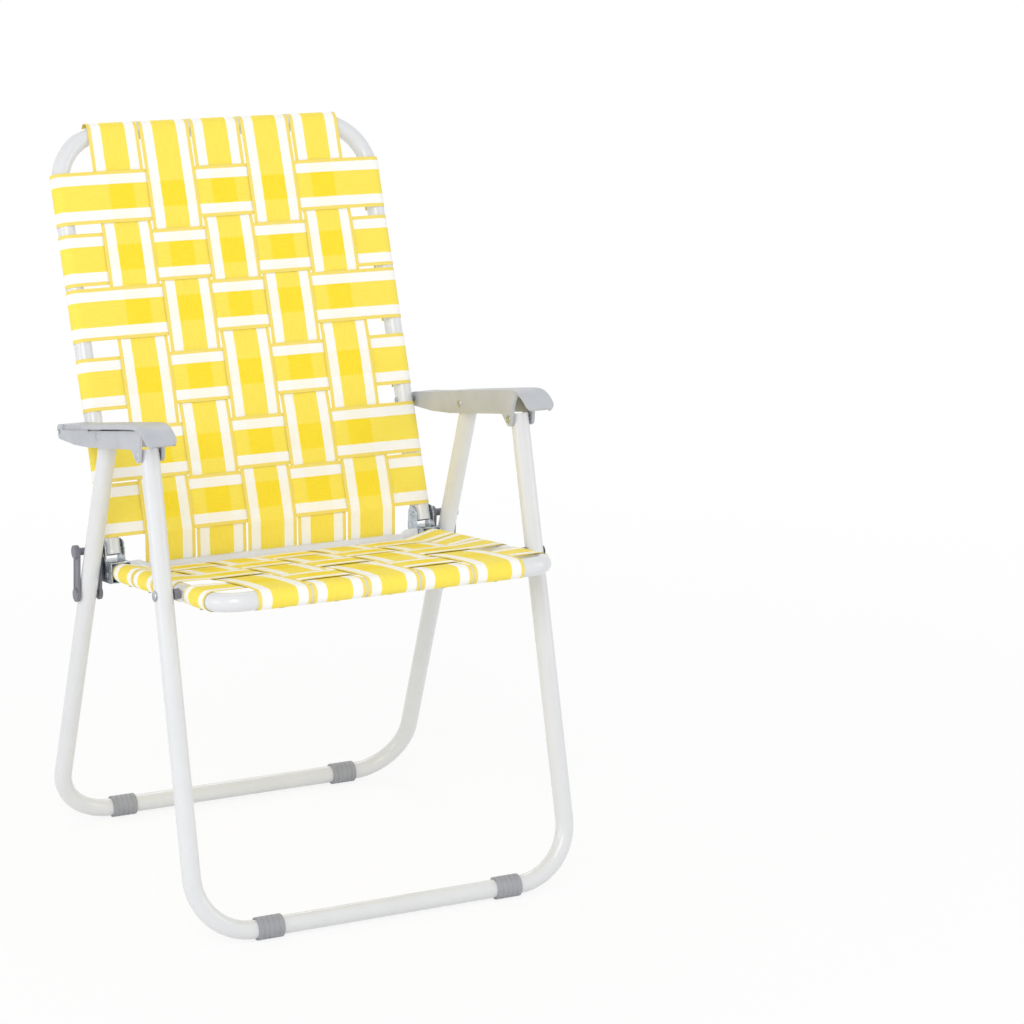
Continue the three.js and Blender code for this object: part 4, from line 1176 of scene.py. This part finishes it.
class Value:
    """A socket that takes part in sums. Each operator adds a Math node."""

    def __init__(self, maker, socket):
        self.maker = maker
        self.socket = socket

    def math(self, operation, *others, clamp=False):
        """A Math node of this socket and others, as a new value."""
        settings = {"operation": operation, "use_clamp": clamp}
        return self.maker.value("ShaderNodeMath", 0, settings, dict(enumerate((self, *others))))

    def __add__(self, other):
        return self.math("ADD", other)

    def __mul__(self, other):
        return self.math("MULTIPLY", other)

    def __sub__(self, other):
        return self.math("SUBTRACT", other)

    def __rsub__(self, other):
        return (self * -1) + other

    __radd__ = __add__
    __rmul__ = __mul__

    def between(self, low, high):
        """0 below low and 1 above high, with a smooth rise between."""
        return self.maker.value("ShaderNodeMapRange", "Result", {"interpolation_type": "SMOOTHSTEP"}, {
            "Value": self, "From Min": low, "From Max": high,
        })


class Maker:
    """The node tree of a material or another owner, with one method that makes any node."""

    def __init__(self, name, owner=None):
        self.owner = owner or bpy.data.materials.new(name)
        self.owner.use_nodes = True
        self.nodes = self.owner.node_tree.nodes
        self.shader = self.nodes.get("Principled BSDF")

    def node(self, kind, settings=None, sockets=None):
        """A node of a type: its settings first, then values or links for its sockets."""
        node = self.nodes.new(kind)
        for key, setting in (settings or {}).items():
            setattr(node, key, setting)
        for key, item in (sockets or {}).items():
            self.feed(node.inputs[key], item)
        return node

    def feed(self, socket, item):
        """Links a value or a socket to a socket, or writes a plain number or colour into it."""
        if isinstance(item, Value):
            item = item.socket
        if isinstance(item, bpy.types.NodeSocket):
            self.owner.node_tree.links.new(item, socket)
        else:
            socket.default_value = item

    def value(self, kind, output, settings=None, sockets=None):
        """A new node's output as a value."""
        return Value(self, self.node(kind, settings, sockets).outputs[output])

    def mix(self, factor, first, second, blend="MIX"):
        """A colour between two colours, or the first changed by the second."""
        settings = {"data_type": "RGBA", "blend_type": blend}
        return self.node("ShaderNodeMix", settings, {0: factor, 6: first, 7: second}).outputs[2]

    def place(self):
        """The object's own coordinates, in metres."""
        return self.node("ShaderNodeTexCoord").outputs["Object"]

    def noise(self, scale, detail=3, where=None, stretch=None):
        """Smooth noise over the object or over another place, with its scale in waves per metre."""
        where = where or self.place()
        if stretch:
            where = self.node("ShaderNodeMapping", None, {"Vector": where, "Scale": stretch}).outputs[0]
        return self.value("ShaderNodeTexNoise", "Fac", None, {
            "Vector": where, "Scale": scale, "Detail": detail, "Roughness": noise_roughness,
        })

    def bump(self, height, distance, strength=1.0):
        """Feeds a height in metres to the shader's normal."""
        sockets = {"Height": height, "Distance": distance, "Strength": strength}
        self.feed(self.shader.inputs["Normal"], self.node("ShaderNodeBump", None, sockets).outputs[0])

    def finish(self, **sockets):
        """Writes values or links to the shader's sockets, named with _ for a space."""
        for key, item in sockets.items():
            self.feed(self.shader.inputs[key.replace("_", " ")], item)
        return self.owner


# %% [markdown]
# The tubes have a gloss white powder coat. It melts into a skin with a faint orange peel, a ripple of
# about 3 mm that wavers the reflections, and an uneven gloss.

# %% White powder coat
def powder_coat():
    """Cool white, with two noises for the ripple and for an uneven gloss."""
    maker = Maker("powder_coat")
    ripple = maker.noise(330, detail=2)
    tone = maker.noise(18)
    colour = maker.mix(tone, (0.69, 0.70, 0.715, 1), (0.755, 0.765, 0.78, 1))
    maker.bump(ripple, 0.06 * mm)
    return maker.finish(
        Base_Color=colour, Roughness=tone * 0.08 + 0.19, Coat_Weight=0.35, Coat_Roughness=0.08,
    )


# %% [markdown]
# The armrests and feet are grey plastic from a fine textured mould, the links a darker one. The feet
# clips take a darker grey than the armrests, partly a tone of their own and partly painted shade from
# the rear clips that sit in shade. A tight noise makes the grain, and a wide one the slight clouds of a
# moulded part.

# %% Moulded plastics
def moulded_plastic(name, dark, pale, rough):
    """A plastic between two greys, with grain in its bump and handling in its roughness."""
    maker = Maker(name)
    cloud = maker.noise(22, detail=4)
    grain = maker.noise(1500)
    colour = maker.mix(cloud.between(0.3, 0.7), dark, pale)
    maker.bump(grain, 0.05 * mm, strength=0.8)
    return maker.finish(Base_Color=colour, Roughness=cloud * 0.12 + rough)


# %% [markdown]
# Brackets and rivets are zinc plated: a bluish, fairly bright metal whose reflections are broken by
# the drawn grain of the sheet and by faint blotches from the bath.

# %% Zinc plate
def zinc_plate():
    """A metal with blotches in its tone and a grain drawn out along one way."""
    maker = Maker("zinc_plate")
    blotch = maker.noise(160, detail=4)
    drawn = maker.noise(500, detail=2, stretch=(1, 0.12, 1))
    colour = maker.mix(blotch.between(0.3, 0.7), (0.36, 0.40, 0.43, 1), (0.56, 0.60, 0.63, 1))
    maker.bump(drawn, 0.03 * mm, strength=0.6)
    return maker.finish(Base_Color=colour, Metallic=1.0, Roughness=blotch * 0.16 + 0.18)


# %% [markdown]
# The webbing is woven from flat plastic yarn. Its colour goes from a narrow golden edge over white to a
# wide yellow middle and back. The weave is a brick pattern of small pillows, 1.3 mm across and 1.9 mm
# along, with every other row shifted by half. A brownish tone multiplied in between the pillows is
# painted shade of the weave's hollows.

# %% Webbing
yarn_across = 1.3 * mm
yarn_along = 1.9 * mm
line_inner = 28.2 * mm
band_soft = 0.5 * mm
edge_wander = 0.8 * mm


def webbing():
    """Bands from the distance across, a pillow pattern from both coordinates, with painted shade in the
    hollows between the pillows, and the yellow of the strap below, which tints the white a little and
    deepens the yellow."""
    maker = Maker("webbing")
    weave = maker.node("ShaderNodeUVMap", {"uv_map": "weave"}).outputs[0]
    split = maker.node("ShaderNodeSeparateXYZ", None, {"Vector": weave})
    u, v = Value(maker, split.outputs["X"]), Value(maker, split.outputs["Y"])
    below = maker.value("ShaderNodeAttribute", "Fac", {"attribute_name": "underlay"})
    wander = maker.noise(90, detail=2, where=weave) * edge_wander
    edge = u.math("ABSOLUTE") + wander - edge_wander / 2
    outside = edge.between(yellow_half - band_soft, yellow_half + band_soft)
    line = edge.between(line_inner - band_soft, line_inner + band_soft)
    fibre = maker.noise(1.0, detail=4, where=weave, stretch=(900, 60, 1))
    deep = maker.mix(below, (0.98, 0.785, 0.085, 1), (0.975, 0.74, 0.022, 1))
    light = maker.mix(below, (1.0, 0.835, 0.13, 1), (1.0, 0.79, 0.045, 1))
    golden = maker.mix(fibre.between(0.3, 0.75), deep, light)
    pale = maker.mix(below, (0.99, 0.985, 0.955, 1), (0.99, 0.97, 0.88, 1))
    rim = maker.mix(line, maker.mix(outside, golden, pale), (0.93, 0.75, 0.17, 1))
    row = v * (1 / yarn_along)
    shift = row.math("FLOOR").math("MODULO", 2.0) * 0.5
    column = (u * (1 / yarn_across) + shift) * np.pi
    pillow = column.math("SINE").math("ABSOLUTE") * (row * np.pi).math("SINE").math("ABSOLUTE")
    # Painted shade: the colour is multiplied towards brown in the hollows between the weave's pillows.
    painted_weave_shade = maker.mix(pillow.between(0.0, 0.45) * 0.3 + 0.7, (0.80, 0.72, 0.50, 1), (1, 1, 1, 1))
    colour = maker.mix(0.35, rim, painted_weave_shade, "MULTIPLY")
    maker.bump(pillow, 0.22 * mm, strength=0.7)
    return maker.finish(Base_Color=colour, Roughness=0.62 - pillow * 0.12, Specular_IOR_Level=0.25)


finishes = {
    "white_steel": powder_coat(),
    "grey_plastic": moulded_plastic("grey_plastic", (0.45, 0.465, 0.50, 1), (0.52, 0.535, 0.57, 1), 0.38),
    # The clips' darker grey is partly their own tone and partly painted shade from the rear clips in shade.
    "clip_plastic": moulded_plastic("clip_plastic", (0.29, 0.30, 0.33, 1), (0.35, 0.36, 0.39, 1), 0.42),
    "dark_plastic": moulded_plastic("dark_plastic", (0.15, 0.146, 0.176, 1), (0.205, 0.2, 0.235, 1), 0.36),
    "zinc": zinc_plate(),
    "webbing": webbing(),
}
print("finishes", sorted(finishes))

# %% [markdown]
# Each piece now rides on its body, takes its finish and stands for its node. The cross straps ride on
# the back or the seat; the long straps are set in place and ride on no body. A direction halfway between
# down the back and along the seat, with a start and an end near the hinge, is worked out but not used.

# %% Riding on the frame
def dress(piece, finish, nodes):
    """Gives a piece its finish and hides the nodes that it stands for."""
    piece.data.materials.clear()
    piece.data.materials.append(finishes[finish])
    if nodes:
        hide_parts(*nodes)


for piece, body, nodes, slot, finish in pieces:
    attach(piece, body)
    dress(piece, finish, nodes)
print("placed", len(pieces), "pieces")

# %% Webbing on the frame
bend_way = unit(seat_forward - back_up)
bend_before, bend_after = 2 * mm, 20 * mm
bend_start = hinge - bend_before * bend_way
bend_end = hinge + bend_after * bend_way
for piece, length, mat, nodes in straps:
    if mat:
        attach(piece, f"{mat.name}_frame")
    else:
        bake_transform(piece)
    dress(piece, "webbing", nodes)
print("placed", len(straps), "straps")

# %% [markdown]
# The studio is a white one: a pale floor that takes a soft shadow, a white surround, a large lamp in
# front on the left, weaker ones at the left, on the right and behind, and a sky that is a little
# brighter at the horizon. Floor and surround are fully white only where the camera sees them, so that
# they don't light the chair from all sides.

# %% Floor and light
floor_half = 7.0
glow_near, glow_from, glow_until = 0.84, 0.3, 2.6
sky_at_horizon = 0.76
sky_overhead = 0.68
lamp_aim = Vector((0, 0, 0.45))
lamps = {
    "key_lamp": ((-1.7, -2.7, 2.3), 1.8, 37),
    "side_lamp": ((-3.0, -0.3, 1.0), 1.4, 12),
    "fill_lamp": ((2.4, -1.6, 1.3), 1.6, 10),
    "rim_lamp": ((0.6, 2.4, 2.4), 1.6, 13),
}


def seen_directly(maker):
    """1 for the rays by which the camera sees a thing straight, in a gloss or through glass, and 0 for
    the rays that carry its light: the sum of three ray kinds, clamped."""
    path = maker.node("ShaderNodeLightPath")
    camera_ray, glossy, transmission = (
        Value(maker, path.outputs[f"Is {kind} Ray"]) for kind in ("Camera", "Glossy", "Transmission")
    )
    return camera_ray.math("ADD", glossy, clamp=True).math("ADD", transmission, clamp=True)


floor_mesh = bpy.data.meshes.new("floor")
floor_corners = [(-1, -1, 0), (1, -1, 0), (1, 1, 0), (-1, 1, 0)]
floor_mesh.from_pydata(np.array(floor_corners) * floor_half, [], [(0, 1, 2, 3)])
floor = placed("floor", floor_mesh)
maker = Maker("floor")
floor_mesh.materials.append(
    maker.finish(Base_Color=(0.92, 0.92, 0.92, 1), Roughness=0.9, Specular_IOR_Level=0.0)
)
glow = maker.node("ShaderNodeEmission", None, {"Color": (1, 1, 1, 1), "Strength": 1.0})
from_middle = maker.value("ShaderNodeVectorMath", "Value", {"operation": "LENGTH"}, {0: maker.place()})
share = from_middle.between(glow_from, glow_until) * (1 - glow_near) + glow_near
both = maker.node("ShaderNodeMixShader", None, {
    0: seen_directly(maker) * share, 1: maker.shader.outputs[0], 2: glow.outputs[0],
})
maker.feed(maker.nodes["Material Output"].inputs["Surface"], both.outputs[0])

for name, (where, size, power) in lamps.items():
    data = bpy.data.lights.new(name, "AREA")
    data.size = size
    data.energy = power
    lamp = placed(name, data)
    lamp.location = where
    lamp.rotation_euler = (lamp_aim - Vector(where)).to_track_quat("-Z", "Y").to_euler()

world = bpy.data.worlds.new("studio")
bpy.context.scene.world = world
maker = Maker("studio", world)
direction = maker.node("ShaderNodeTexCoord").outputs["Generated"]
height = maker.node("ShaderNodeSeparateXYZ", None, {0: direction}).outputs["Z"]
light = maker.value("ShaderNodeMapRange", 0, None, {
    "Value": height, "To Min": sky_at_horizon, "To Max": sky_overhead,
})
level = maker.value("ShaderNodeMapRange", 0, None, {
    "Value": seen_directly(maker), "To Min": light, "To Max": 1.0,
})
sky = maker.nodes["Background"]
sky.inputs["Color"].default_value = (1, 1, 1, 1)
maker.feed(sky.inputs["Strength"], level)
bpy.context.scene.view_settings.view_transform = "Standard"
print("lamps", len(bpy.data.lights))
